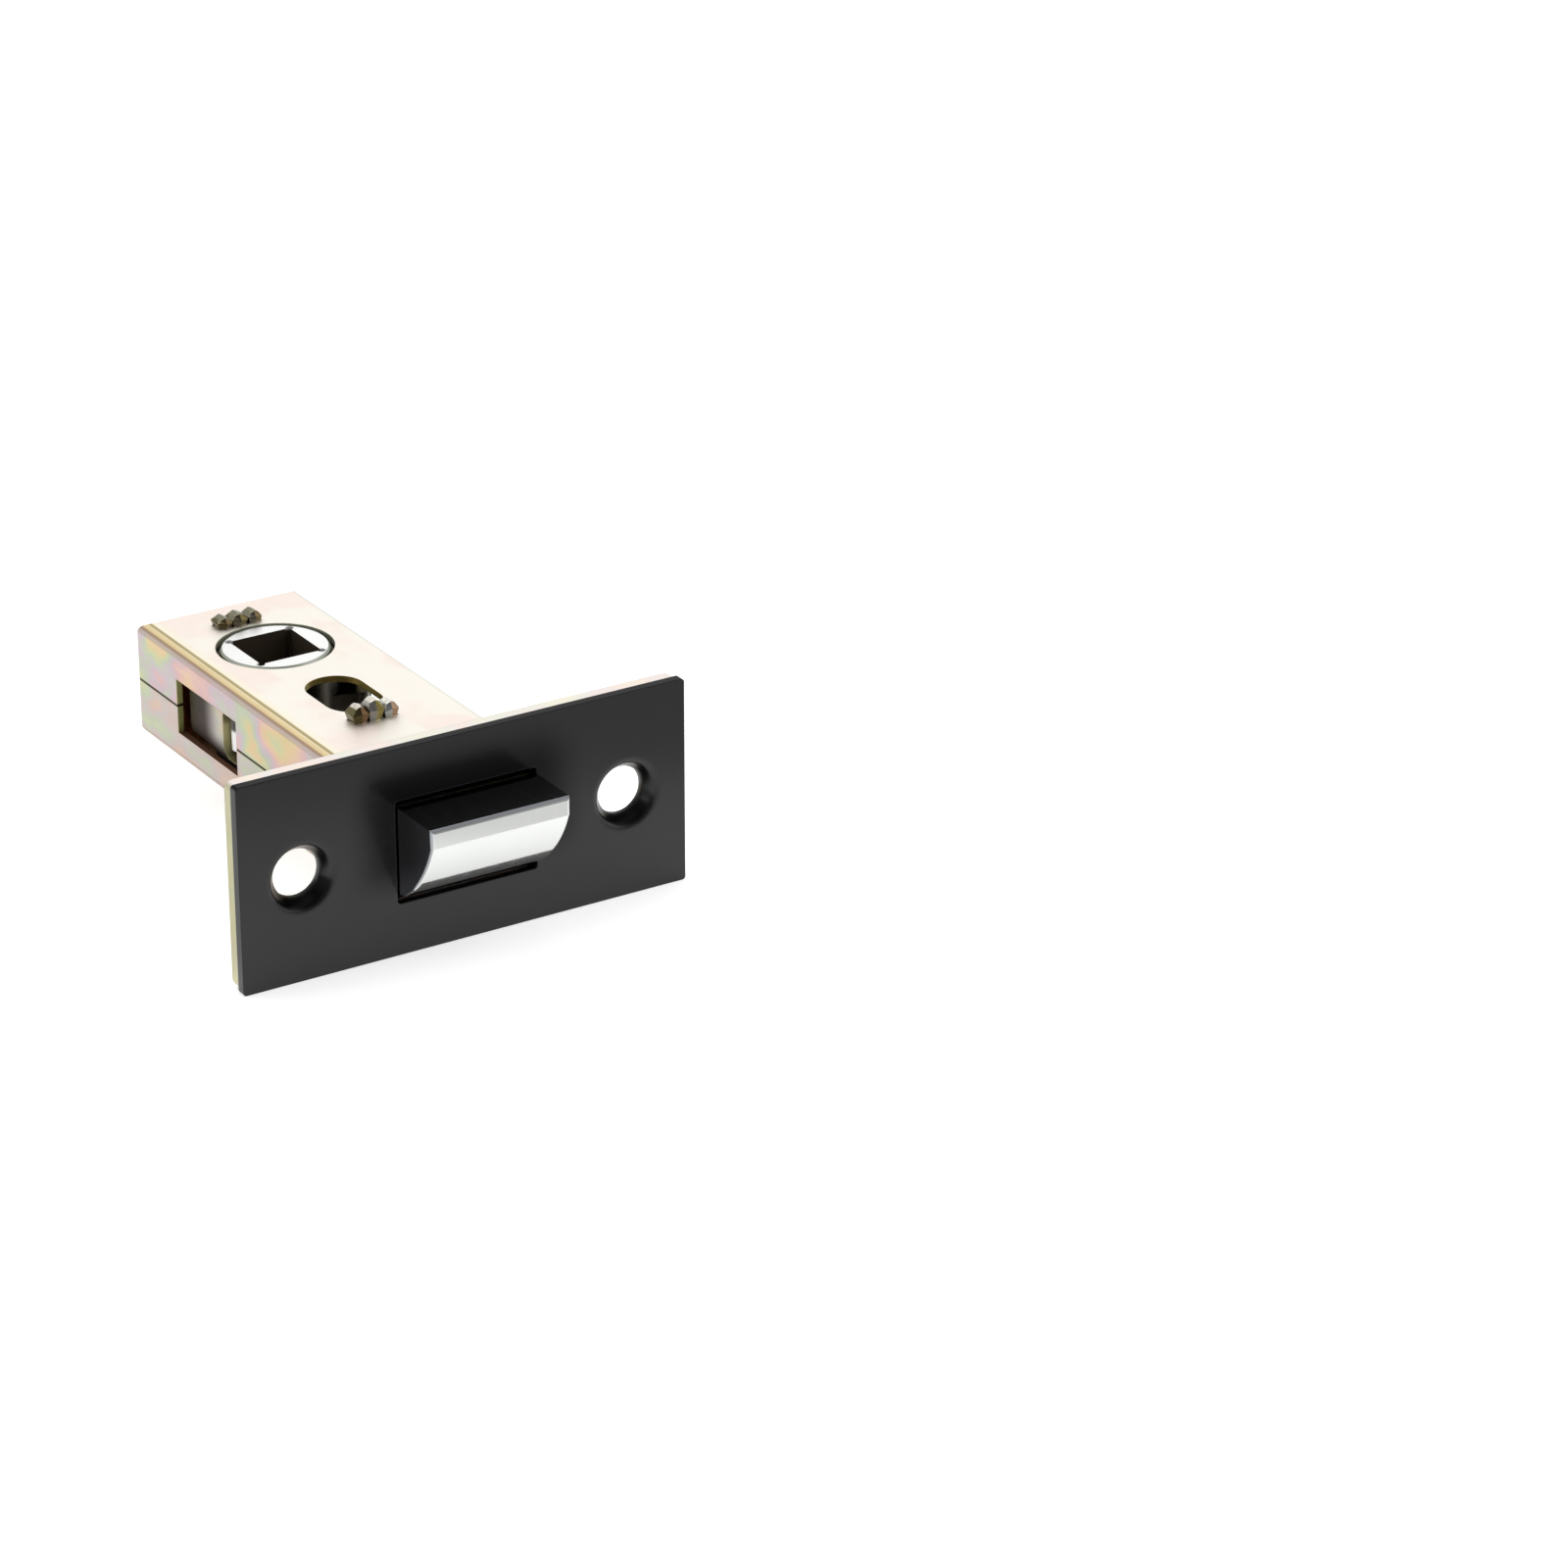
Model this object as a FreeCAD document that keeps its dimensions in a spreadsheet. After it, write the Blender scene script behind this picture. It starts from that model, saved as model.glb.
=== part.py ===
import FreeCAD, Part
import os
import re
import Sketcher

# Tubular door latch in millimetres.
# The origin is the middle of the cover plate's front face.
# X runs along the face plate, Y into the door, and Z along the spindle.

SIZES = {
    # Spindle and hub, from which the widths across the case follow
    "spindle_square": 8.0,
    "square_relief": 1.0,
    "hub_wall": 0.843,
    "hub_hole_gap": 0.5,
    "hub_shoulder": 0.4,
    "hub_play": 0.2,
    "hub_chamfer": 0.3,
    "backset": 45.0,
    "ear_reach": 3.8,
    "ear_bite": 0.9,
    "ear_width": 2.6,
    "ear_root": 5.4,
    "ear_flare": 1.5,
    "ear_thickness": 4.0,
    "ear_angle": 38.0,
    # Yoke that the hub pulls
    "yoke_sheet": 1.2,
    "yoke_bend": 0.8,
    "yoke_play": 0.4,
    "ear_gap": 0.45,
    "ear_window_gap": 1.2,
    "ear_window_length": 6.2,
    "ear_window_corner": 1.6,
    "rail_height": 1.4,
    "arm_height": 6.0,
    "arm_taper": 2.0,
    "arm_past_hub": 4.0,
    "arm_corner": 1.0,
    # Latch bolt and its spring
    "bolt_side_gap": 0.95,
    "bolt_top": 5.6,
    "bolt_height": 10.8,
    "bolt_reach": 7.9,
    "bolt_travel": 7.8,
    "nose_land": 2.2,
    "nose_radius": 17.0,
    "nose_lean": 21.0,
    "bolt_edge": 0.5,
    "base_play": 0.25,
    "base_length": 6.9,
    "stop_gap": 0.1,
    "spring_outer": 7.2,
    "spring_wire": 0.9,
    "spring_turns": 9.0,
    "spring_gap": 0.05,
    "spring_bore_gap": 0.4,
    "spring_bore_depth": 9.0,
    "spring_hole_gap": 0.7,
    "peg_diameter": 2.2,
    "peg_gap": 0.05,
    "peg_head": 2.8,
    "peg_head_height": 0.7,
    # Case of two pressed trays
    "case_sheet": 0.8,
    "case_bend": 1.05,
    "head_gap": 0.6,
    "parting_gap": 0.1,
    "rear_room": 4.4,
    "rear_slit": 0.15,
    "corner_relief": 0.9,
    "window_before_hub": 10.0,
    "window_past_hub": 5.0,
    "window_margin": 0.2,
    "bolt_slot_width": 7.0,
    "bolt_slot_length": 11.3,
    "bolt_slot_gap": 1.1,
    "tenon_width": 3.5,
    "tenon_centre": 3.25,
    "tenon_play": 0.05,
    # Cross bars that tie the trays together, with staked tabs
    "bar_thickness": 1.8,
    "bar_width": 9.0,
    "bar_travel_gap": 0.8,
    "bar_hub_gap": 0.4,
    "tab_centre": -0.5,
    "wide_lobe": 2.3,
    "middle_lobe": 2.65,
    "narrow_lobe": 1.05,
    "lobe_flat": 0.15,
    "notch_depth": 0.85,
    "tab_round": 0.4,
    "tab_spread": 0.3,
    "tab_stand": 1.2,
    "tab_play": 0.05,
    # Face plate: a cover dimpled into an inner plate
    "plate_length": 57.0,
    "plate_width": 25.0,
    "cover_thickness": 1.2,
    "cover_corner": 0.4,
    "inner_thickness": 1.6,
    "inner_corner": 1.0,
    "inner_inset": 0.1,
    "screw_to_end": 7.75,
    "screw_hole": 5.8,
    "screw_sink": 7.9,
    "sink_angle": 35.0,
    "sink_lip": 0.9,
    "dimple_depth": 2.2,
    "dimple_gap": 0.1,
    "cover_side_gap": 0.15,
    "cover_top_gap": 0.65,
    "inner_gap": 0.2,
    "aperture_corner": 0.4,
    # How far a cut runs past the face that it leaves
    "cut_margin": 1.0,
}

# Sizes that follow from the ones above, each written once
boss = "(spindle_square * sqrt(2) / 2 + hub_wall)"
hub_hole = f"({boss} + hub_hole_gap)"
drum = f"({hub_hole} + hub_shoulder)"
ear_tip = f"({drum} + ear_reach)"
ear_side = f"(({ear_tip} - ear_width / 2) * cos(ear_angle) + ear_width / 2)"
arm_inner = f"({ear_side} - ear_bite)"
arm_outer = f"({arm_inner} + yoke_sheet)"
inside_x = f"({arm_outer} + yoke_play)"
outside_x = f"({inside_x} + case_sheet)"
inside_z = "(bolt_top + head_gap)"
outside_z = f"({inside_z} + case_sheet)"
bolt_half = f"({inside_x} - bolt_side_gap)"
screw_x = "(plate_length / 2 - screw_to_end)"
dimple_rise = "((dimple_depth - cover_thickness) * tan(sink_angle))"
cover_back = "cover_thickness"
inner_back = "(cover_thickness + inner_thickness)"
base_front = f"({inner_back} + stop_gap)"
base_back = f"({base_front} + base_length)"
web_back = f"({base_back} + yoke_sheet)"
front_bar = f"({web_back} + bolt_travel + bar_travel_gap)"
rear_bar = f"(backset + {drum} + bar_hub_gap)"
case_end = f"({rear_bar} + bar_thickness + rear_room + case_sheet)"
head_left = "(tab_centre - (wide_lobe + middle_lobe + narrow_lobe) / 2)"
left_notch = f"({head_left} + wide_lobe)"
right_notch = f"({left_notch} + middle_lobe)"
head_right = f"({right_notch} + narrow_lobe)"
notch_half = "(narrow_lobe - tab_round - lobe_flat)"
tab_left, tab_right = f"({head_left} + tab_spread / 2)", f"({head_right} - tab_spread / 2)"
slot_front = f"({front_bar} + bar_thickness + bolt_slot_gap)"
shoulder = (f"(backset - {arm_inner} * tan(ear_angle)"
            " + ear_width / 2 / cos(ear_angle) + ear_gap)")
arm_end = "(backset + arm_past_hub)"
ear_window_half = "(ear_thickness / 2 + ear_window_gap)"
arm_front_half = f"({ear_window_half} + rail_height)"
window_half = f"({ear_window_half} + window_margin)"
bolt_bottom = "(bolt_top - bolt_height)"
land_foot = "(bolt_top - nose_land)"
nose_drop = f"({land_foot} + nose_radius * sin(nose_lean) - {bolt_bottom})"
nose_end = ("(nose_radius * cos(nose_lean) - bolt_reach"
            f" - sqrt(nose_radius * nose_radius - {nose_drop} * {nose_drop}))")
spring_bore = "(spring_outer / 2 + spring_bore_gap)"
bore_bottom = f"({base_back} - spring_bore_depth)"
web_hole = f"({spring_bore} + spring_hole_gap / 2)"
peg_offset = f"(({web_hole} + {arm_inner} - yoke_bend) / 2)"

doc = FreeCAD.newDocument("tubular_latch")
sheet = doc.addObject("Spreadsheet::Sheet", "sizes")
for row, (alias, value) in enumerate(SIZES.items(), start=1):
    sheet.set(f"A{row}", alias)
    sheet.set(f"B{row}", str(value))
    sheet.setAlias(f"B{row}", alias)
doc.recompute()


def bound(text):
    """Puts the sheet's name before each size that an expression uses."""
    def cell(match):
        word = match.group(0)
        return "sizes." + word if word in SIZES else word
    return re.sub(r"[a-z_]+", cell, text)


def number(text):
    """The value that an expression has now."""
    return float(sheet.evalExpression(bound(text)))


def bind(thing, place, text):
    thing.setExpression(place, bound(text))


# Bodies, sketches and features

# The side of each origin plane that its normal points to
PLANES = {"XY": 1, "XZ": -1, "YZ": 1}


def new_body(label):
    body = doc.addObject("PartDesign::Body", label)
    body.Label = label
    return body


def origin_part(body, role):
    """One of the planes or axes that the body's origin has, such as XY_Plane or Y_Axis."""
    for feature in body.Origin.OriginFeatures:
        if feature.Role == role:
            return feature


def new_sketch(body, name, plane, height):
    """A sketch parallel to one of the body's origin planes, at a height along the third axis."""
    sketch = body.newObject("Sketcher::SketchObject", name)
    sketch.AttachmentSupport = [(origin_part(body, plane + "_Plane"), "")]
    sketch.MapMode = "FlatFace"
    bind(sketch, "AttachmentOffset.Base.z", f"{PLANES[plane]} * ({height})")
    return sketch


def constrain(sketch, value, *words):
    """Adds a constraint whose size is bound to an expression."""
    index = sketch.addConstraint(Sketcher.Constraint(*words, number(value)))
    bind(sketch, f"Constraints[{index}]", value)


def pin_point(sketch, edge, end, x, y):
    constrain(sketch, x, "DistanceX", -1, 1, edge, end)
    constrain(sketch, y, "DistanceY", -1, 1, edge, end)


def arc_between(start, end, radius, turn):
    """The short arc from start to end that turns left (1) or right (-1)."""
    along = end - start
    half = along.Length / 2
    rise = max(radius * radius - half * half, 0.0) ** 0.5
    across = FreeCAD.Vector(-along.y, along.x, 0) * (turn / along.Length)
    centre = (start + end) * 0.5 + across * rise
    first, last = (start, end) if turn > 0 else (end, start)
    angles = [FreeCAD.Vector(1, 0, 0).getAngle(p - centre) for p in (first, last)]
    angles = [a if p.y >= centre.y else -a for a, p in zip(angles, (first, last))]
    circle = Part.Circle(centre, FreeCAD.Vector(0, 0, 1), radius)
    return Part.ArcOfCircle(circle, angles[0], angles[1])


def outline(sketch, corners):
    """Draws a closed outline through corners (x, y) or (x, y, radius, turn).

    A corner with a radius starts an arc, which turns left (1) or right (-1).
    """
    points = [FreeCAD.Vector(number(c[0]), number(c[1]), 0) for c in corners]
    ends = []
    for i, corner in enumerate(corners):
        start, end = points[i], points[(i + 1) % len(points)]
        if len(corner) == 2:
            edge = sketch.addGeometry(Part.LineSegment(start, end))
            ends.append((edge, 1, 2))
        else:
            turn = corner[3]
            edge = sketch.addGeometry(arc_between(start, end, number(corner[2]), turn))
            ends.append((edge, 1, 2) if turn > 0 else (edge, 2, 1))
    for i, (edge, first, last) in enumerate(ends):
        following = ends[(i + 1) % len(ends)]
        sketch.addConstraint(Sketcher.Constraint("Coincident", edge, last, following[0], following[1]))
        pin_point(sketch, edge, first, corners[i][0], corners[i][1])
        if len(corners[i]) > 2:
            constrain(sketch, corners[i][2], "Radius", edge)


def circle(sketch, x, y, radius):
    centre = FreeCAD.Vector(number(x), number(y), 0)
    edge = sketch.addGeometry(Part.Circle(centre, FreeCAD.Vector(0, 0, 1), number(radius)))
    pin_point(sketch, edge, 3, x, y)
    constrain(sketch, radius, "Radius", edge)


def box_corners(x0, x1, y0, y1):
    return [(x0, y0), (x1, y0), (x1, y1), (x0, y1)]


def rounded_corners(half_x, y0, y1, radius):
    """A rectangle from -half_x to half_x and y0 to y1 with round corners."""
    near, far = f"{half_x} - {radius}", f"-({half_x} - {radius})"
    return [(far, y0), (near, y0, radius, 1),
            (half_x, f"{y0} + {radius}"), (half_x, f"{y1} - {radius}", radius, 1),
            (near, y1), (far, y1, radius, 1),
            (f"-({half_x})", f"{y1} - {radius}"), (f"-({half_x})", f"{y0} + {radius}", radius, 1)]


def extrude(body, kind, name, plane, start, end, draw):
    """Pads or pockets a sketch from start to end along the axis across its plane."""
    sketch = new_sketch(body, name + "_sketch", plane, start)
    draw(sketch)
    made = body.newObject("PartDesign::" + kind, name)
    made.Profile = sketch
    made.Reversed = (PLANES[plane] < 0) == (kind == "Pad")
    bind(made, "Length", f"({end}) - ({start})")
    sketch.Visibility = False
    doc.recompute()
    return made


def pad(body, name, plane, start, end, draw):
    return extrude(body, "Pad", name, plane, start, end, draw)


def pocket(body, name, plane, start, end, draw):
    before = body.Shape.Volume
    made = extrude(body, "Pocket", name, plane, start, end, draw)
    if not made.Shape.Volume < before:
        raise ValueError(f"{name} cuts nothing")
    return made


def turned(body, kind, name, plane, height, draw, shift_x="0"):
    """Revolves a sketch about its own vertical axis, which stands shift_x along X."""
    sketch = new_sketch(body, name + "_sketch", plane, height)
    bind(sketch, "AttachmentOffset.Base.x", shift_x)
    draw(sketch)
    made = body.newObject("PartDesign::" + kind, name)
    made.Profile = sketch
    made.ReferenceAxis = (sketch, ["V_Axis"])
    made.Angle = 360
    sketch.Visibility = False
    doc.recompute()
    return made


def mirrored(body, name, plane, originals):
    made = body.newObject("PartDesign::Mirrored", name)
    made.Originals = originals
    made.MirrorPlane = (origin_part(body, plane + "_Plane"), [""])
    body.Tip = made
    doc.recompute()
    return made


def turned_over(body, name, originals):
    """Repeats features on the far side of the piece, half a turn about Y away."""
    made = body.newObject("PartDesign::PolarPattern", name)
    made.Originals = originals
    made.Axis = (origin_part(body, "Y_Axis"), [""])
    made.Angle = 360
    made.Occurrences = 2
    body.Tip = made
    doc.recompute()
    return made


def drawn(*corners):
    """A drawing step that draws one outline."""
    return lambda sketch: outline(sketch, list(corners))


# Face plate

def screw_shape(sketch, lip, sink, hole, front, back):
    """Half section of a countersunk hole, from its axis outwards."""
    slope = f"({sink} / 2 - {hole} / 2) / tan(sink_angle)"
    if lip:
        tangent = f"{lip} * tan((90 - sink_angle) / 2)"
        mouth = [(f"{sink} / 2 + {tangent}", front, lip, -1),
                 (f"{sink} / 2 - {tangent} * sin(sink_angle)", f"{front} + {tangent} * cos(sink_angle)")]
    else:
        mouth = [(f"{sink} / 2", front)]
    outline(sketch, [("0", front)] + mouth + [(f"{hole} / 2", f"{front} + {slope}"),
                                              (f"{hole} / 2", back), ("0", back)])


def face_plate():
    """Cover plate, dimpled around its two screw holes."""
    body = new_body("face_plate")
    pad(body, "cover_sheet", "XZ", "0", "cover_thickness",
        lambda s: outline(s, rounded_corners("plate_length / 2", "-plate_width / 2",
                                             "plate_width / 2", "cover_corner")))
    dimple_tip = f"(screw_sink / 2 - {dimple_rise})"
    dimple = turned(body, "Revolution", "dimple", "XY", "0", drawn(
        ("0", "cover_thickness / 2"), ("screw_sink / 2", "cover_thickness / 2"),
        ("screw_sink / 2", "cover_thickness"), (dimple_tip, "dimple_depth"),
        ("0", "dimple_depth")), screw_x)
    sink = turned(body, "Groove", "screw_sink_cut", "XY", "0",
                  lambda s: screw_shape(s, "sink_lip", "screw_sink", "screw_hole", "0",
                                        "(dimple_depth + cut_margin)"), screw_x)
    mirrored(body, "both_screw_holes", "YZ", [dimple, sink])
    pocket(body, "cover_aperture", "XZ", "0", "cover_thickness + cut_margin",
           lambda s: outline(s, rounded_corners(f"({bolt_half} + cover_side_gap)",
                                                "-(bolt_top + cover_top_gap)",
                                                "(bolt_top + cover_top_gap)", "aperture_corner")))
    return body


def inner_face_plate():
    """Inner plate, whose holes take the cover's dimples and whose slots take the trays' tenons."""
    body = new_body("inner_face_plate")
    pad(body, "inner_sheet", "XZ", cover_back, inner_back,
        lambda s: outline(s, rounded_corners("(plate_length / 2 - inner_inset)",
                                             "-(plate_width / 2 - inner_inset)",
                                             "(plate_width / 2 - inner_inset)", "inner_corner")))
    seat_mouth = "(screw_sink + 2 * dimple_gap)"
    seat_hole = f"({seat_mouth} - 2 * {dimple_rise})"
    seat = turned(body, "Groove", "screw_seat", "XY", "0",
                  lambda s: screw_shape(s, None, seat_mouth, seat_hole, cover_back,
                                        f"({inner_back} + cut_margin)"), screw_x)
    mirrored(body, "both_screw_seats", "YZ", [seat])
    pocket(body, "inner_aperture", "XZ", cover_back, inner_back + " + cut_margin",
           lambda s: outline(s, rounded_corners(f"({bolt_half} + inner_gap)",
                                                "-(bolt_top + inner_gap)",
                                                "(bolt_top + inner_gap)", "aperture_corner")))

    def tenon_slots(sketch):
        low = "tenon_centre - tenon_width / 2 - tenon_play"
        high = "tenon_centre + tenon_width / 2 + tenon_play"
        near, far = f"{inside_x} - tenon_play", f"{outside_x} + tenon_play"
        outline(sketch, box_corners(near, far, low, high))
        outline(sketch, box_corners(near, far, f"-({high})", f"-({low})"))
        outline(sketch, box_corners(f"-({far})", f"-({near})", low, high))
        outline(sketch, box_corners(f"-({far})", f"-({near})", f"-({high})", f"-({low})"))
    pocket(body, "tenon_slots", "XZ", cover_back, inner_back + " + cut_margin", tenon_slots)
    return body


# Case

def case_half(label, angle):
    """One pressed tray, with its flat wall at +Z before it is turned about Y into place."""
    body = new_body(label)
    edge = "parting_gap / 2"
    bend_x, bend_z = f"({outside_x} - case_bend)", f"({outside_z} - case_bend)"
    inner_bend = "(case_bend - case_sheet)"
    pad(body, "tray_section", "XZ", inner_back, case_end, drawn(
        (outside_x, edge), (outside_x, bend_z, "case_bend", 1),
        (bend_x, outside_z), (f"-{bend_x}", outside_z, "case_bend", 1),
        (f"-{outside_x}", bend_z), (f"-{outside_x}", edge),
        (f"-{inside_x}", edge), (f"-{inside_x}", bend_z, inner_bend, -1),
        (f"-{bend_x}", inside_z), (bend_x, inside_z, inner_bend, -1),
        (inside_x, bend_z), (inside_x, edge)))
    wall_x = f"({inside_x} - rear_slit)"
    pad(body, "rear_wall", "XZ", f"{case_end} - case_sheet", case_end,
        drawn(*box_corners(f"-{wall_x}", wall_x, edge, f"{inside_z} + case_sheet / 2")))
    bend_y = f"({case_end} - case_bend)"
    beyond_y, beyond_z = f"{case_end} + cut_margin", f"{outside_z} + cut_margin"
    pocket(body, "rear_fold", "YZ", f"-({outside_x} + cut_margin)", f"{outside_x} + cut_margin", drawn(
        (case_end, bend_z, "case_bend", 1), (bend_y, outside_z), (bend_y, beyond_z),
        (beyond_y, beyond_z), (beyond_y, bend_z)))

    def relief_notches(sketch):
        low, high = f"{case_end} - corner_relief", f"{case_end} + cut_margin"
        near, far = wall_x, f"{inside_x} + case_sheet / 2"
        outline(sketch, box_corners(near, far, low, high))
        outline(sketch, box_corners(f"-({far})", f"-{near}", low, high))
    pocket(body, "corner_reliefs", "XY", f"{inside_z} - corner_relief", f"{inside_z} + case_sheet / 2",
           relief_notches)

    def wall_openings(sketch):
        circle(sketch, "0", "backset", hub_hole)
        half = "bolt_slot_width / 2"
        near = f"({slot_front} + {half})"
        far = f"({slot_front} + bolt_slot_length - {half})"
        outline(sketch, [(half, near), (half, far, half, 1), ("0", f"{far} + {half}", half, 1),
                         (f"-{half}", far), (f"-{half}", near, half, 1),
                         ("0", f"{near} - {half}", half, 1)])
        for bar in (front_bar, rear_bar):
            outline(sketch, box_corners(f"{tab_left} - tab_play", f"{tab_right} + tab_play",
                                        f"{bar} - tab_play", f"{bar} + bar_thickness + tab_play"))
    pocket(body, "wall_openings", "XY", f"{inside_z} - case_bend / 2", f"{outside_z} + cut_margin",
           wall_openings)
    pocket(body, "side_windows", "YZ", f"-({outside_x} + cut_margin)", f"{outside_x} + cut_margin",
           drawn(*box_corners("backset - window_before_hub", "backset + window_past_hub",
                              "-cut_margin", window_half)))
    low, high = "tenon_centre - tenon_width / 2", "tenon_centre + tenon_width / 2"

    def tenons(sketch):
        outline(sketch, box_corners(inside_x, outside_x, low, high))
        outline(sketch, box_corners(f"-{outside_x}", f"-{inside_x}", low, high))
    pad(body, "tenons", "XZ", cover_back, inner_back + " + case_sheet", tenons)
    body.Placement = FreeCAD.Placement(FreeCAD.Vector(), FreeCAD.Rotation(FreeCAD.Vector(0, 1, 0), angle))
    return body


def cross_bar(label, place):
    """Bar across the case, whose tabs pass through both trays and are staked over into three lobes."""
    body = new_body(label)
    half = "bar_width / 2"
    pad(body, "bar", "XZ", place, f"{place} + bar_thickness",
        drawn(*box_corners(f"-{half}", half, f"-{inside_z}", inside_z)))
    neck = pad(body, "tab", "XZ", place, f"{place} + bar_thickness",
               drawn(*box_corners(tab_left, tab_right, f"{inside_z} - case_sheet", outside_z)))
    crown = f"({outside_z} + tab_stand)"
    lobes = [(head_left, outside_z), (head_right, outside_z),
             (head_right, f"{crown} - tab_round", "tab_round", 1), (f"{head_right} - tab_round", crown)]
    for notch in (right_notch, left_notch):
        lobes += [(f"{notch} + {notch_half}", crown), (notch, f"{crown} - notch_depth"),
                  (f"{notch} - {notch_half}", crown)]
    lobes += [(f"{head_left} + tab_round", crown, "tab_round", 1), (head_left, f"{crown} - tab_round")]
    front, back = f"({place} - tab_spread)", f"({place} + bar_thickness + tab_spread)"
    head = pad(body, "staked_head", "XZ", front, back, drawn(*lobes))
    above = f"{crown} + cut_margin"

    def head_rounding(sketch):
        outline(sketch, [(front, f"{crown} - tab_round", "tab_round", -1), (f"{front} + tab_round", crown),
                         (f"{front} + tab_round", above), (f"{front} - cut_margin", above),
                         (f"{front} - cut_margin", f"{crown} - tab_round")])
        outline(sketch, [(f"{back} - tab_round", crown, "tab_round", -1), (back, f"{crown} - tab_round"),
                         (f"{back} + cut_margin", f"{crown} - tab_round"),
                         (f"{back} + cut_margin", above), (f"{back} - tab_round", above)])
    rounding = pocket(body, "head_rounding", "YZ", f"-{half}", half, head_rounding)
    turned_over(body, "both_tabs", [neck, head, rounding])
    return body


# Bolt, yoke and spring

def latch_bolt():
    """Die-cast bolt: a bevelled head, a wider base that stops it, and pegs that hold the yoke."""
    body = new_body("latch_bolt")
    pad(body, "bolt_head", "YZ", f"-{bolt_half}", bolt_half, drawn(
        ("-bolt_reach", "bolt_top"), ("-bolt_reach", land_foot, "nose_radius", 1),
        (nose_end, bolt_bottom), (f"{base_front} + base_length / 2", bolt_bottom),
        (f"{base_front} + base_length / 2", "bolt_top")))
    soften_head(body)
    base_x, base_z = f"({inside_x} - base_play)", f"({inside_z} - base_play)"
    pad(body, "bolt_base", "XZ", base_front, base_back,
        drawn(*box_corners(f"-{base_x}", base_x, f"-{base_z}", base_z)))
    pocket(body, "spring_bore", "XZ", bore_bottom, f"{base_back} + cut_margin",
           lambda s: circle(s, "0", "0", spring_bore))

    def pegs(radius):
        def draw(sketch):
            circle(sketch, peg_offset, "0", radius)
            circle(sketch, f"-{peg_offset}", "0", radius)
        return draw
    pad(body, "pegs", "XZ", f"{base_back} - base_play", f"{web_back} + peg_head_height / 2",
        pegs("peg_diameter / 2"))
    pad(body, "peened_heads", "XZ", web_back, f"{web_back} + peg_head_height", pegs("peg_head / 2"))
    return body


def soften_head(body):
    """Rounds the edges of the bolt's nose: both ends of its land and bevel, and its top edge."""
    tip = body.Tip
    near = 0.001
    front, top = near - number("bolt_reach"), number("bolt_top") - near
    edges = []
    for index, edge in enumerate(tip.Shape.Edges, start=1):
        box = edge.BoundBox
        bevel_end = box.XLength < near and isinstance(edge.Curve, Part.Circle)
        land_end = box.XLength < near and box.YMax < front
        top_edge = box.ZMin > top and box.YMax < front
        if bevel_end or land_end or top_edge:
            edges.append(f"Edge{index}")
    fillet = body.newObject("PartDesign::Fillet", "soft_edges")
    fillet.Base = (tip, edges)
    bind(fillet, "Radius", "bolt_edge")
    doc.recompute()


def retractor_yoke():
    """Steel strap bent to a U, whose arms reach past the hub's ears on both sides."""
    body = new_body("retractor_yoke")
    outer_bend = "(yoke_bend + yoke_sheet)"
    bend_y = f"({web_back} + yoke_bend)"
    outer_x, inner_x = f"({arm_outer} - {outer_bend})", f"({arm_inner} - yoke_bend)"
    pad(body, "bent_strap", "XY", f"-{arm_front_half}", arm_front_half, drawn(
        (arm_outer, arm_end), (arm_outer, bend_y, outer_bend, -1), (outer_x, base_back),
        (f"-{outer_x}", base_back, outer_bend, -1), (f"-{arm_outer}", bend_y),
        (f"-{arm_outer}", arm_end), (f"-{arm_inner}", arm_end),
        (f"-{arm_inner}", bend_y, "yoke_bend", 1), (f"-{inner_x}", web_back),
        (inner_x, web_back, "yoke_bend", 1), (arm_inner, bend_y), (arm_inner, arm_end)))
    across = f"({arm_outer} + cut_margin)"
    taper = f"({shoulder} + yoke_bend / 2)"
    beyond_y, beyond_z = f"{arm_end} + cut_margin", f"{arm_front_half} + cut_margin"
    tail_half = "arm_height / 2"
    waist = pocket(body, "arm_waist", "YZ", f"-{across}", across, drawn(
        (taper, arm_front_half), (f"{taper} + arm_taper", tail_half),
        (f"{arm_end} - arm_corner", tail_half, "arm_corner", -1),
        (arm_end, f"{tail_half} - arm_corner"), (beyond_y, f"{tail_half} - arm_corner"),
        (beyond_y, beyond_z), (taper, beyond_z)))
    mirrored(body, "both_waists", "XY", [waist])
    near, far = f"({shoulder} - ear_window_length)", shoulder
    high, round_end = ear_window_half, "ear_window_corner"
    pocket(body, "ear_windows", "YZ", f"-{across}", across, drawn(
        (near, f"-{high}"), (f"{far} - {round_end}", f"-{high}", round_end, 1),
        (far, f"-({high} - {round_end})"), (far, f"{high} - {round_end}", round_end, 1),
        (f"{far} - {round_end}", high), (near, high)))

    def web_holes(sketch):
        circle(sketch, "0", "0", web_hole)
        for side in ("", "-"):
            circle(sketch, side + peg_offset, "0", "peg_diameter / 2 + peg_gap")
    pocket(body, "web_holes", "XZ", base_back, f"{web_back} + yoke_bend / 2", web_holes)
    return body


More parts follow.
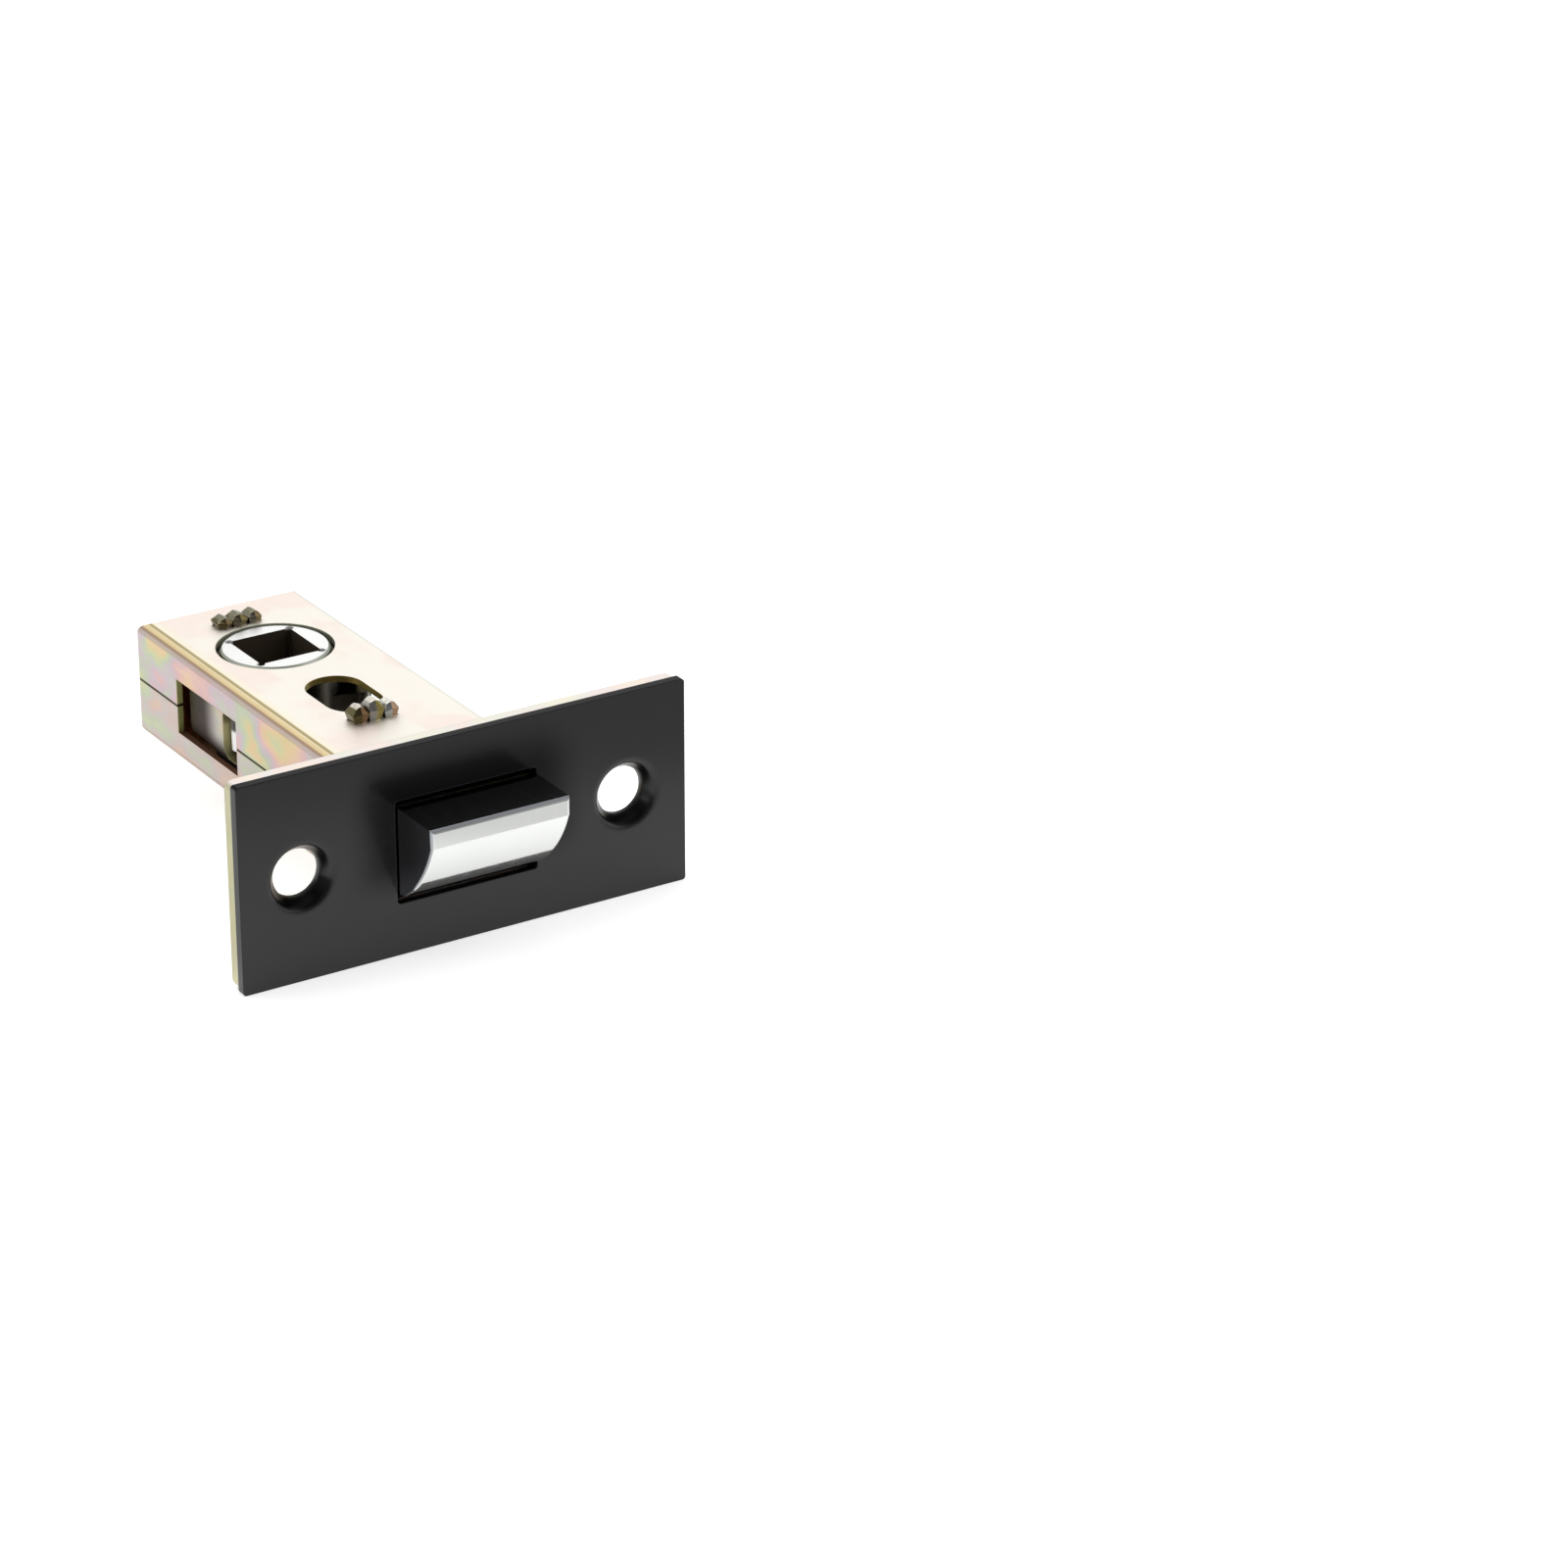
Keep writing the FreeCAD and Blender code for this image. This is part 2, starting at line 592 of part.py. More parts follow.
def bolt_spring():
    """Compression spring from the bolt's bore to the front cross bar."""
    start = f"({bore_bottom} + spring_gap + spring_wire / 2)"
    end = f"({front_bar} - spring_gap - spring_wire / 2)"
    upright = FreeCAD.Rotation(FreeCAD.Vector(1, 0, 0), -90)
    helix = doc.addObject("Part::Helix", "spring_line")
    bind(helix, "Radius", "spring_outer / 2 - spring_wire / 2")
    bind(helix, "Height", f"{end} - {start}")
    bind(helix, "Pitch", f"({end} - {start}) / spring_turns")
    helix.Placement = FreeCAD.Placement(FreeCAD.Vector(), upright)
    bind(helix, "Placement.Base.y", start)
    wire = doc.addObject("Part::Circle", "spring_wire_section")
    bind(wire, "Radius", "spring_wire / 2")
    bind(wire, "Placement.Base.x", "spring_outer / 2 - spring_wire / 2")
    bind(wire, "Placement.Base.y", start)
    doc.recompute()
    spring = doc.addObject("Part::Sweep", "bolt_spring")
    spring.Label = "bolt_spring"
    spring.Sections = [wire]
    spring.Spine = (helix, [f"Edge{i}" for i in range(1, len(helix.Shape.Edges) + 1)])
    spring.Solid = True
    spring.Frenet = True
    return spring


# Hub

def hub():
    """Follower: a drum between the trays, bosses in their holes, two ears and the spindle's square."""
    body = new_body("hub")
    turned(body, "Revolution", "drum_and_bosses", "XZ", "backset", drawn(
        ("0", f"-{outside_z}"), (f"{boss} - hub_chamfer", f"-{outside_z}"),
        (boss, f"-({outside_z} - hub_chamfer)"), (boss, f"-({inside_z} - hub_play)"),
        (drum, f"-({inside_z} - hub_play)"), (drum, f"{inside_z} - hub_play"),
        (boss, f"{inside_z} - hub_play"), (boss, f"{outside_z} - hub_chamfer"),
        (f"{boss} - hub_chamfer", outside_z), ("0", outside_z)))
    ear = pad(body, "ear", "XY", "-ear_thickness / 2", "ear_thickness / 2", drawn(
        ("0", "-ear_width / 2"), (f"{ear_tip} - ear_width / 2", "-ear_width / 2", "ear_width / 2", 1),
        (ear_tip, "0", "ear_width / 2", 1), (f"{ear_tip} - ear_width / 2", "ear_width / 2"),
        (f"{drum} - ear_flare", "ear_root / 2"), ("0", "ear_root / 2")))
    bind(ear.Profile[0], "AttachmentOffset.Base.y", "backset")
    bind(ear.Profile[0], "AttachmentOffset.Rotation.Angle", "180 + ear_angle")
    doc.recompute()
    mirrored(body, "both_ears", "YZ", [ear])
    half = "spindle_square / 2"

    def square(sketch):
        outline(sketch, box_corners(f"-{half}", half, f"backset - {half}", f"backset + {half}"))

    def reliefs(sketch):
        for x in (half, f"-{half}"):
            for y in (f"backset + {half}", f"backset - {half}"):
                circle(sketch, x, y, "square_relief / 2")
    through = (f"-({outside_z} + cut_margin)", f"{outside_z} + cut_margin")
    pocket(body, "spindle_square_cut", "XY", *through, square)
    pocket(body, "square_reliefs", "XY", *through, reliefs)
    return body


PIECES = [
    face_plate(),
    inner_face_plate(),
    case_half("upper_case_half", 0),
    case_half("lower_case_half", 180),
    cross_bar("front_cross_bar", front_bar),
    cross_bar("rear_cross_bar", rear_bar),
    latch_bolt(),
    retractor_yoke(),
    bolt_spring(),
    hub(),
]
doc.recompute()

faults = [thing.Name for thing in doc.Objects if {"Invalid", "Error"} & set(thing.State)]
for piece in PIECES:
    if piece.Shape.isNull() or not piece.Shape.isValid() or not piece.Shape.Solids:
        faults.append(piece.Label)
if faults:
    raise ValueError("these objects failed: " + ", ".join(faults))

os.makedirs("parts", exist_ok=True)
for piece in PIECES:
    piece.Shape.exportStep(f"parts/{piece.Label}.step")
    print(piece.Label, len(piece.Shape.Solids), "solid", round(piece.Shape.Volume, 1), "mm3")
for label, text in (("case end", case_end), ("front bar", front_bar), ("rear bar", rear_bar),
                    ("case half width", outside_x), ("case half height", outside_z),
                    ("yoke shoulder", shoulder), ("bolt half width", bolt_half)):
    print(label, round(number(text), 3))
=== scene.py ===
# %% [markdown]
# A tubular door latch, dressed for its picture.
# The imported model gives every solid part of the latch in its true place. This lesson adds the camera, the
# light and the floor, and then the finishes: black powder coat, rainbow-tinted zinc, bright plate and
# spring wire. Three small things are modelled again in mesh code, because their real form is hand-worked
# or coiled: the two staked cross bars and the bolt's spring.

import math
import random

import bmesh
import bpy
from mathutils import Matrix, Vector


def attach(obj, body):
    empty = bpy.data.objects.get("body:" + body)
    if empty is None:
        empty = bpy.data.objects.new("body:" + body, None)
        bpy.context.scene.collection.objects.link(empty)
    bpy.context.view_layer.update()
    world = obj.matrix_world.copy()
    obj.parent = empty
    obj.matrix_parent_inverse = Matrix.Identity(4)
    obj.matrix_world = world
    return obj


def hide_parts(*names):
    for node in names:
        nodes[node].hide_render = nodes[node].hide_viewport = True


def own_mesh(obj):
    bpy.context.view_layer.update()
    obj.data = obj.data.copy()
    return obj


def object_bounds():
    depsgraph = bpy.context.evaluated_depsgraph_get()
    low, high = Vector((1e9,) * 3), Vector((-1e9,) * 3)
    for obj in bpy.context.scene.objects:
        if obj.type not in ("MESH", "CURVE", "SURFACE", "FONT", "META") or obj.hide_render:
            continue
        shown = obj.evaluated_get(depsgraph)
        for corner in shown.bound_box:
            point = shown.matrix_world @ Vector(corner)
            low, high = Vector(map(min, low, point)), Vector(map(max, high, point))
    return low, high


MM = 0.001
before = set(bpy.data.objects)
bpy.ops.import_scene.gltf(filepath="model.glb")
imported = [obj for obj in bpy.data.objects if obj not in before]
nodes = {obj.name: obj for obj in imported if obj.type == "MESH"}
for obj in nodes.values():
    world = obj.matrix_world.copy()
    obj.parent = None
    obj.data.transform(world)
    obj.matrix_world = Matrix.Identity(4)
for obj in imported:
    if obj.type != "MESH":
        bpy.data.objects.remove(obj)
cad_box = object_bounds()
print("pieces:", ", ".join(sorted(nodes)))
print("box in mm:", [round(v / MM, 1) for v in (*cad_box[0], *cad_box[1])])

# %% [markdown]
# The camera stands in front of the face plate, to its left and above it, with a long lens. A long lens
# keeps the plate's edges nearly parallel, as they are in a catalogue picture. Its place came from matching
# the plate's corners, the spindle hole and the case's edges, so it is given as a point, a second point that
# it looks at, and a very small roll.

# %% Camera
EYE = Vector((-0.274933, -0.493802, 0.258824))
LOOKS_AT = Vector((0.03068, -0.017529, 0.005516))
ROLL_DEGREES = 0.081
LENS_MM = 127.91
SENSOR_MM = 36.0
CLIP_NEAR = 0.05
CLIP_FAR = 20.0


def aimed(eye, target, roll=0.0):
    """A placement that looks from one point to another."""
    turn = (target - eye).to_track_quat("-Z", "Y").to_matrix().to_4x4()
    return Matrix.Translation(eye) @ turn @ Matrix.Rotation(math.radians(roll), 4, "Z")


camera_data = bpy.data.cameras.new("catalogue_camera")
camera_data.lens = LENS_MM
camera_data.sensor_width = SENSOR_MM
camera_data.clip_start = CLIP_NEAR
camera_data.clip_end = CLIP_FAR
camera = bpy.data.objects.new("catalogue_camera", camera_data)
bpy.context.scene.collection.objects.link(camera)
camera.matrix_world = aimed(EYE, LOOKS_AT, ROLL_DEGREES)
bpy.context.scene.camera = camera
print("camera distance in mm:", round((EYE - LOOKS_AT).length / MM))

# %% [markdown]
# A metal part shows mostly what stands around it, so the room is part of the finish. This is a studio with
# a pale floor and pale walls at the back and above, and with the dark of the room on the camera's side.
# The bright side makes the flat zinc nearly white, and the dark side gives the holes and edges their
# contrast. The camera itself sees plain white behind the latch, whichever way it looks.

# %% Room
WHITE = (1.0, 1.0, 1.0, 1.0)
SKY_BACK = 0.90
SKY_FRONT = 0.16
TO_CAMERA = (-0.53, -0.83, 0.17)
FADE_FROM = 0.05
FADE_TO = 0.75
view = bpy.context.scene.view_settings
view.view_transform = "Standard"
world = bpy.data.worlds.new("studio_room")
bpy.context.scene.world = world
world.use_nodes = True
room = world.node_tree
sky = room.nodes["Background"]
ways = room.nodes.new("ShaderNodeTexCoord")
facing = room.nodes.new("ShaderNodeVectorMath")
facing.operation = "DOT_PRODUCT"
facing.inputs[1].default_value = TO_CAMERA
room.links.new(ways.outputs["Generated"], facing.inputs[0])
fade = room.nodes.new("ShaderNodeMapRange")
fade.interpolation_type = "SMOOTHSTEP"
fade_values = {"From Min": FADE_FROM, "From Max": FADE_TO, "To Min": SKY_BACK, "To Max": SKY_FRONT}
for name, value in fade_values.items():
    fade.inputs[name].default_value = value
room.links.new(facing.outputs["Value"], fade.inputs["Value"])
eye_rays = room.nodes.new("ShaderNodeLightPath")
shown = room.nodes.new("ShaderNodeMix")
shown.inputs["B"].default_value = 1.0
room.links.new(eye_rays.outputs["Is Camera Ray"], shown.inputs["Factor"])
room.links.new(fade.outputs["Result"], shown.inputs["A"])
sky.inputs["Color"].default_value = WHITE
room.links.new(shown.outputs["Result"], sky.inputs["Strength"])
print("room: back", SKY_BACK, "front", SKY_FRONT)

# %% [markdown]
# Three soft lamps: the main one above, a faint one behind the latch, which the flat wall of the case
# mirrors, and a weak one on the right. They are not strong, so a colour renders about as it is written.
# They are very wide, because smooth metal shows a lamp's face: the same light from a wider face is dimmer
# to look at, and doesn't clip to white.

# %% Lamps
def soft_lamp(name, place, target, size, watts):
    """A round lamp that shines from a place towards a target."""
    data = bpy.data.lights.new(name, "AREA")
    data.shape = "DISK"
    data.size = size
    data.energy = watts
    lamp = bpy.data.objects.new(name, data)
    bpy.context.scene.collection.objects.link(lamp)
    lamp.matrix_world = aimed(Vector(place), Vector(target))
    return lamp


CENTRE = (0.0, 0.03, 0.0)
lamps = [
    soft_lamp("lamp_above", (-0.15, 0.25, 0.95), CENTRE, 1.20, 2.6),
    soft_lamp("lamp_behind", (0.48, 0.75, 0.42), CENTRE, 0.70, 0.18),
    soft_lamp("lamp_right", (0.75, -0.35, 0.55), CENTRE, 0.80, 1.0),
]
print("lamps:", ", ".join(lamp.name for lamp in lamps))

# %% [markdown]
# Finishes are built from small networks of shader nodes. Five short helpers keep those networks readable:
# one feeds a socket with a number or with another node, one adds a node, one does arithmetic, one makes a
# smooth step, and one blends two colours.

# %% Node helpers
def feed(tree, socket, value):
    """Links a socket to a node's output, or sets it to a number or colour."""
    if isinstance(value, bpy.types.NodeSocket):
        tree.links.new(value, socket)
    else:
        socket.default_value = value


def add_node(tree, kind, settings=None, **inputs):
    """Adds a node, sets its choices, and feeds its inputs by name."""
    node = tree.nodes.new("ShaderNode" + kind)
    for name, value in (settings or {}).items():
        setattr(node, name, value)
    for name, value in inputs.items():
        feed(tree, node.inputs[name.replace("_", " ")], value)
    return node


def calc(tree, way, *values):
    """One step of arithmetic on numbers or sockets."""
    node = tree.nodes.new("ShaderNodeMath")
    node.operation = way
    for socket, value in zip(node.inputs, values):
        feed(tree, socket, value)
    return node.outputs[0]


def ramp(tree, value, low, high, start=0.0, end=1.0):
    """Turns a value into a smooth step from start to end between low and high."""
    node = add_node(tree, "MapRange", {"interpolation_type": "SMOOTHSTEP"}, Value=value,
                    From_Min=low, From_Max=high, To_Min=start, To_Max=end)
    return node.outputs["Result"]


def mixed(tree, share, first, second):
    """Blends two colours by a share."""
    node = tree.nodes.new("ShaderNodeMix")
    node.data_type = "RGBA"
    feed(tree, node.inputs["Factor"], share)
    for socket, value in ((node.inputs[6], first), (node.inputs[7], second)):
        if isinstance(value, tuple):
            value = (*value, 1.0)
        feed(tree, socket, value)
    return node.outputs[2]


print("helpers ready")

# %% [markdown]
# The floor is a plain pale sheet. In the picture it is white, so a little light of its own is added to it,
# but only where the camera or a mirror-like surface sees it. The bolt's curved nose mirrors that light as
# a bright band, so in mirrors the floor shines only on a strip before the face plate. The strip's front
# edge runs at a slant, it is brighter near the plate than farther off, and behind the plate the light is
# dimmer again. A soft shadow still shows.

# %% Floor
FLOOR_SIZE = 4.0
FLOOR_DROP = 0.02 * MM
FLOOR_GREY = (0.82, 0.82, 0.82, 1.0)
FLOOR_ROUGHNESS = 0.9
FLOOR_OWN_LIGHT = 0.60
MIRRORED_SHARE = 0.85
STRIP_EDGE = (-0.047, -0.033)
STRIP_SLANT = 0.3
TOWARDS_PLATE = (-0.040, -0.004)
FAR_AND_NEAR_LIGHT = (0.72, 1.20)
PAST_PLATE = (0.0, 0.012)
FRONT_AND_BACK_LIGHT = (1.0, 0.45)
lowest = cad_box[0].z


def new_material(name):
    """Makes an empty material, and gives it with its node tree."""
    material = bpy.data.materials.new(name)
    material.use_nodes = True
    material.node_tree.nodes.clear()
    return material, material.node_tree


def finish_material(tree, shader):
    """Makes a shader the material's surface."""
    out = tree.nodes.new("ShaderNodeOutputMaterial")
    tree.links.new(shader.outputs[0], out.inputs["Surface"])


floor_paint, tree = new_material("floor_paint")
rays = add_node(tree, "LightPath")
spot = add_node(tree, "NewGeometry")
across, depth, _ = add_node(tree, "SeparateXYZ", Vector=spot.outputs["Position"]).outputs
slanted = calc(tree, "SUBTRACT", depth, calc(tree, "MULTIPLY", across, STRIP_SLANT))
glow = ramp(tree, slanted, *STRIP_EDGE)
glow = calc(tree, "MULTIPLY", glow, ramp(tree, depth, *PAST_PLATE, *FRONT_AND_BACK_LIGHT))
glow = calc(tree, "MULTIPLY", glow, ramp(tree, depth, *TOWARDS_PLATE, *FAR_AND_NEAR_LIGHT))
mirrored = calc(tree, "MAXIMUM", rays.outputs["Is Glossy Ray"], rays.outputs["Is Transmission Ray"])
mirrored = calc(tree, "MULTIPLY", mirrored, calc(tree, "MULTIPLY", glow, MIRRORED_SHARE))
seen = calc(tree, "MAXIMUM", rays.outputs["Is Camera Ray"], mirrored)
own_light = calc(tree, "MULTIPLY", seen, FLOOR_OWN_LIGHT)
paint = add_node(tree, "BsdfPrincipled", Base_Color=FLOOR_GREY, Roughness=FLOOR_ROUGHNESS,
                 Emission_Color=WHITE, Emission_Strength=own_light)
paint.inputs["Specular IOR Level"].default_value = 0.0
finish_material(tree, paint)

floor_mesh = bpy.data.meshes.new("floor")
shape = bmesh.new()
bmesh.ops.create_grid(shape, x_segments=4, y_segments=4, size=FLOOR_SIZE / 2)
shape.to_mesh(floor_mesh)
shape.free()
floor = bpy.data.objects.new("floor", floor_mesh)
floor.location = (0.0, 0.0, lowest - FLOOR_DROP)
bpy.context.scene.collection.objects.link(floor)
floor_mesh.materials.append(floor_paint)
print("floor at z in mm:", round(floor.location.z / MM, 2))

# %% [markdown]
# Yellow passivate is a thin film on zinc. Its thickness wanders, and each thickness shows another pale
# tint: gold, peach, pink, lavender, green and back to gold. The film is a group, because the case, the
# inner plate, the yoke and the bars all wear it. A stretched, wavy noise stands for the thickness, and a
# colour ramp turns it into the tint.

# %% Shader group: passivate film
PATCH_STRETCH = 1.6
FILM_TINTS = [
    (0.00, (0.80, 0.62, 0.34)),
    (0.18, (0.82, 0.58, 0.42)),
    (0.36, (0.76, 0.50, 0.48)),
    (0.54, (0.64, 0.53, 0.58)),
    (0.72, (0.56, 0.62, 0.46)),
    (0.86, (0.68, 0.66, 0.38)),
    (1.00, (0.80, 0.62, 0.34)),
]


def new_group(name, inputs, outputs):
    """Makes an empty shader node group with named inputs and outputs."""
    group = bpy.data.node_groups.new(name, "ShaderNodeTree")
    for title, kind, value in inputs:
        socket = group.interface.new_socket(title, in_out="INPUT", socket_type=kind)
        if value is not None:
            socket.default_value = value
    for title, kind in outputs:
        group.interface.new_socket(title, in_out="OUTPUT", socket_type=kind)
    start = group.nodes.new("NodeGroupInput")
    end = group.nodes.new("NodeGroupOutput")
    return group, start.outputs, end.inputs


def place_group(tree, group, **inputs):
    """Places a group in a material, with its own values."""
    node = tree.nodes.new("ShaderNodeGroup")
    node.node_tree = group
    for name, value in inputs.items():
        feed(tree, node.inputs[name.replace("_", " ")], value)
    return node.outputs


def colour_ramp(tree, value, stops):
    """Turns a value into a colour, by a list of places and colours."""
    node = add_node(tree, "ValToRGB", Fac=value)
    marks = node.color_ramp.elements
    while len(marks) < len(stops):
        marks.new(0.5)
    for mark, (place, colour) in zip(marks, stops):
        mark.position = place
        mark.color = (*colour, 1.0)
    return node.outputs["Color"]


film, ins, outs = new_group(
    "passivate_film",
    [("Place", "NodeSocketVector", None), ("Patch Size", "NodeSocketFloat", 9.0),
     ("Drift", "NodeSocketFloat", 0.0), ("Bands", "NodeSocketFloat", 2.0)],
    [("Tint", "NodeSocketColor"), ("Thickness", "NodeSocketFloat")])
small = add_node(film, "VectorMath", {"operation": "DIVIDE"})
feed(film, small.inputs[0], ins["Place"])
spread = add_node(film, "CombineXYZ", X=ins["Patch Size"],
                  Y=calc(film, "MULTIPLY", ins["Patch Size"], PATCH_STRETCH), Z=ins["Patch Size"])
feed(film, small.inputs[1], spread.outputs[0])
cloud = add_node(film, "TexNoise", {"noise_dimensions": "4D"}, Vector=small.outputs[0], W=ins["Drift"],
                 Scale=1.0, Detail=2.0, Roughness=0.45, Distortion=0.35)
thickness = calc(film, "FRACT", calc(film, "MULTIPLY", cloud.outputs["Fac"], ins["Bands"]))
feed(film, outs["Tint"], colour_ramp(film, thickness, FILM_TINTS))
feed(film, outs["Thickness"], cloud.outputs["Fac"])
print("group:", film.name, "with", len(FILM_TINTS), "tints")

# %% [markdown]
# No real edge is perfectly sharp. Sheet steel has a tiny round where the shear or the tumbling drum has
# worked on it, and that round catches light as a fine line. The next group asks for a slightly rounded
# normal near edges. Where that normal turns away from the flat one, the point is near an edge, and the
# group tells this too, so that a finish can be more yellow there.

# %% Shader group: softened edge
EDGE_TURN = (0.99, 0.75)
edge_group, ins, outs = new_group(
    "softened_edge",
    [("Radius", "NodeSocketFloat", 0.0001)],
    [("Normal", "NodeSocketVector"), ("Edge", "NodeSocketFloat")])
rounded = add_node(edge_group, "Bevel", {"samples": 6}, Radius=ins["Radius"])
flat = add_node(edge_group, "NewGeometry")
match = add_node(edge_group, "VectorMath", {"operation": "DOT_PRODUCT"})
feed(edge_group, match.inputs[0], rounded.outputs["Normal"])
feed(edge_group, match.inputs[1], flat.outputs["Normal"])
feed(edge_group, outs["Normal"], rounded.outputs["Normal"])
feed(edge_group, outs["Edge"], ramp(edge_group, match.outputs["Value"], *EDGE_TURN))
print("group:", edge_group.name)

# %% [markdown]
# Every surface has a grain of its own: powder coat has a fine orange peel, rolled sheet has short lines
# along the rolling direction, and a casting has a soft skin. One group makes all of them, because they
# differ only in size and in how far they are stretched. It also gives much larger patches, for a tone that
# drifts slowly. Nearly all of such a noise lies between 0.3 and 0.7, so that span is used to read it.

# %% Shader group: surface grain
PATCH_SCALE = 0.06
NOISE_SPAN = (0.3, 0.7)
grain_group, ins, outs = new_group(
    "surface_grain",
    [("Place", "NodeSocketVector", None), ("Size", "NodeSocketVector", (0.2, 0.2, 0.2)),
     ("Detail", "NodeSocketFloat", 2.0)],
    [("Height", "NodeSocketFloat"), ("Patches", "NodeSocketFloat")])
small = add_node(grain_group, "VectorMath", {"operation": "DIVIDE"})
feed(grain_group, small.inputs[0], ins["Place"])
feed(grain_group, small.inputs[1], ins["Size"])
fine = add_node(grain_group, "TexNoise", Vector=small.outputs[0], Scale=1.0, Detail=ins["Detail"],
                Roughness=0.5)
coarse = add_node(grain_group, "TexNoise", Vector=small.outputs[0], Scale=PATCH_SCALE, Detail=2.0,
                  Roughness=0.5)
feed(grain_group, outs["Height"], fine.outputs["Fac"])
feed(grain_group, outs["Patches"], coarse.outputs["Fac"])
print("group:", grain_group.name)

# %% [markdown]
# Parts that slide or are handled carry fine scratches. They are thin, mostly run one way, and show best in
# the gloss. A noise that is stretched very long and then cut near its top gives a few of them.

# %% Shader group: fine scratches
SCRATCH_SOFTNESS = 0.12
scratch_group, ins, outs = new_group(
    "fine_scratches",
    [("Place", "NodeSocketVector", None), ("Size", "NodeSocketVector", (0.12, 4.0, 0.12)),
     ("Share", "NodeSocketFloat", 0.62)],
    [("Scratch", "NodeSocketFloat")])
small = add_node(scratch_group, "VectorMath", {"operation": "DIVIDE"})
feed(scratch_group, small.inputs[0], ins["Place"])
feed(scratch_group, small.inputs[1], ins["Size"])
lines = add_node(scratch_group, "TexNoise", Vector=small.outputs[0], Scale=1.0, Detail=1.0, Distortion=0.3)
full_scratch = calc(scratch_group, "ADD", ins["Share"], SCRATCH_SOFTNESS)
feed(scratch_group, outs["Scratch"], ramp(scratch_group, lines.outputs["Fac"], ins["Share"], full_scratch))
print("group:", scratch_group.name)

# %% [markdown]
# Light hardly gets into the case. A group asks how much of the open room each point can see, and tells how
# deep in a recess it is. The materials lay a painted shade there, darker the deeper the place. The outside
# corners see half of the room or more, so they get none.

# %% Shader group: painted shade in recesses
# A near-black painted shade, laid in recesses and other places inside the case that little light reaches.
PAINTED_SHADE = (0.030, 0.022, 0.012)
PAINTED_SHADE_SHARE = 0.9
DEEPEST_SHARE = 0.3
recess_shade_group, ins, outs = new_group(
    "painted_recess_shade",
    [("Reach", "NodeSocketFloat", 0.006), ("Open Share", "NodeSocketFloat", 0.42)],
    [("Depth", "NodeSocketFloat")])
open_room = add_node(recess_shade_group, "AmbientOcclusion", {"samples": 8}, Distance=ins["Reach"])
deepest = calc(recess_shade_group, "MULTIPLY", ins["Open Share"], DEEPEST_SHARE)
depth = ramp(recess_shade_group, open_room.outputs["AO"], deepest, ins["Open Share"], 1.0, 0.0)
feed(recess_shade_group, outs["Depth"], depth)
print("group:", recess_shade_group.name)

# %% [markdown]
# Every piece's points are given in metres from the middle of the face plate's front. Noise is easier to
# size in millimetres, so each material starts from the same scaled place. It comes from the piece itself
# and not from the camera, so the pattern stays put when a piece moves. The latch is nearly the same on its
# left and right and above and below, so a point's distances from the middle are used without their signs,
# unless a side has to be told from the other.

# %% Where a point is, in millimetres
def place_in_mm(tree):
    """Where a point is, in millimetres, and the way that its surface faces."""
    spot = add_node(tree, "TexCoord")
    scaled = add_node(tree, "VectorMath", {"operation": "SCALE"}, Scale=1.0 / MM)
    feed(tree, scaled.inputs[0], spot.outputs["Object"])
    return scaled.outputs[0], spot.outputs["Normal"]


def parts_of(tree, vector, absolute=True):
    """The three parts of a vector, without their signs, or with them if absolute is off."""
    split = add_node(tree, "SeparateXYZ", Vector=vector)
    if not absolute:
        return [split.outputs[i] for i in range(3)]
    return [calc(tree, "ABSOLUTE", split.outputs[i]) for i in range(3)]


def bumped(tree, height, distance, strength, normal=None):
    """A normal that is roughened by a height."""
    node = add_node(tree, "Bump", Height=height, Distance=distance, Strength=strength)
    if normal is not None:
        feed(tree, node.inputs["Normal"], normal)
    return node.outputs["Normal"]


def dress(piece, material):
    """Gives a piece its only material, without touching its mesh's points."""
    if not piece.data.materials:
        piece.data.materials.append(None)
    for slot in piece.material_slots:
        slot.link = "OBJECT"
        slot.material = material


print("place helper ready")

# %% [markdown]
# Many finishes change at a border, such as the end of a bend or the wall of a hole. A mask says on which
# side of it a point is: it is 1 on one side, 0 on the other, and soft in between. Six helpers make masks
# and join them. A surface faces an axis when that part of its direction is more than a half.

# %% Masks
FACES = 0.5


def below(tree, value, limit, soft=0.04):
    """1 where a value is below a limit."""
    return ramp(tree, value, limit - soft, limit + soft, 1.0, 0.0)


def above(tree, value, limit, soft=0.04):
    """1 where a value is above a limit."""
    return ramp(tree, value, limit - soft, limit + soft, 0.0, 1.0)


def line(tree, value, middle, half_width, soft):
    """1 on a line where a value is near its middle."""
    from_middle = calc(tree, "ABSOLUTE", calc(tree, "SUBTRACT", value, middle))
    return below(tree, from_middle, half_width, soft)


def flipped(tree, mask):
    """1 where a mask is 0."""
    return calc(tree, "SUBTRACT", 1.0, mask)


def product(tree, *values):
    """1 where all the masks are 1."""
    total = values[0]
    for value in values[1:]:
        total = calc(tree, "MULTIPLY", total, value)
    return total


def distance(tree, first, second):
    """How far a point is, from its distances along two axes."""
    squares = [calc(tree, "POWER", value, 2.0) for value in (first, second)]
    return calc(tree, "SQRT", calc(tree, "ADD", *squares))


print("mask helpers ready")

# %% [markdown]
# The cover plate is powder coated. The powder melts to a soft satin skin of dark grey, which shows pale
# things around it as a broad dim sheen, and keeps a very fine orange peel. Most of what the eye sees is
# that sheen, so the colour itself is nearly black. The sheen is weaker around and above the bolt, which
# keeps the pale room from it, and on edges that face upwards. The dimples of the screw holes have wider
# rounds than the plate's sheared edges.

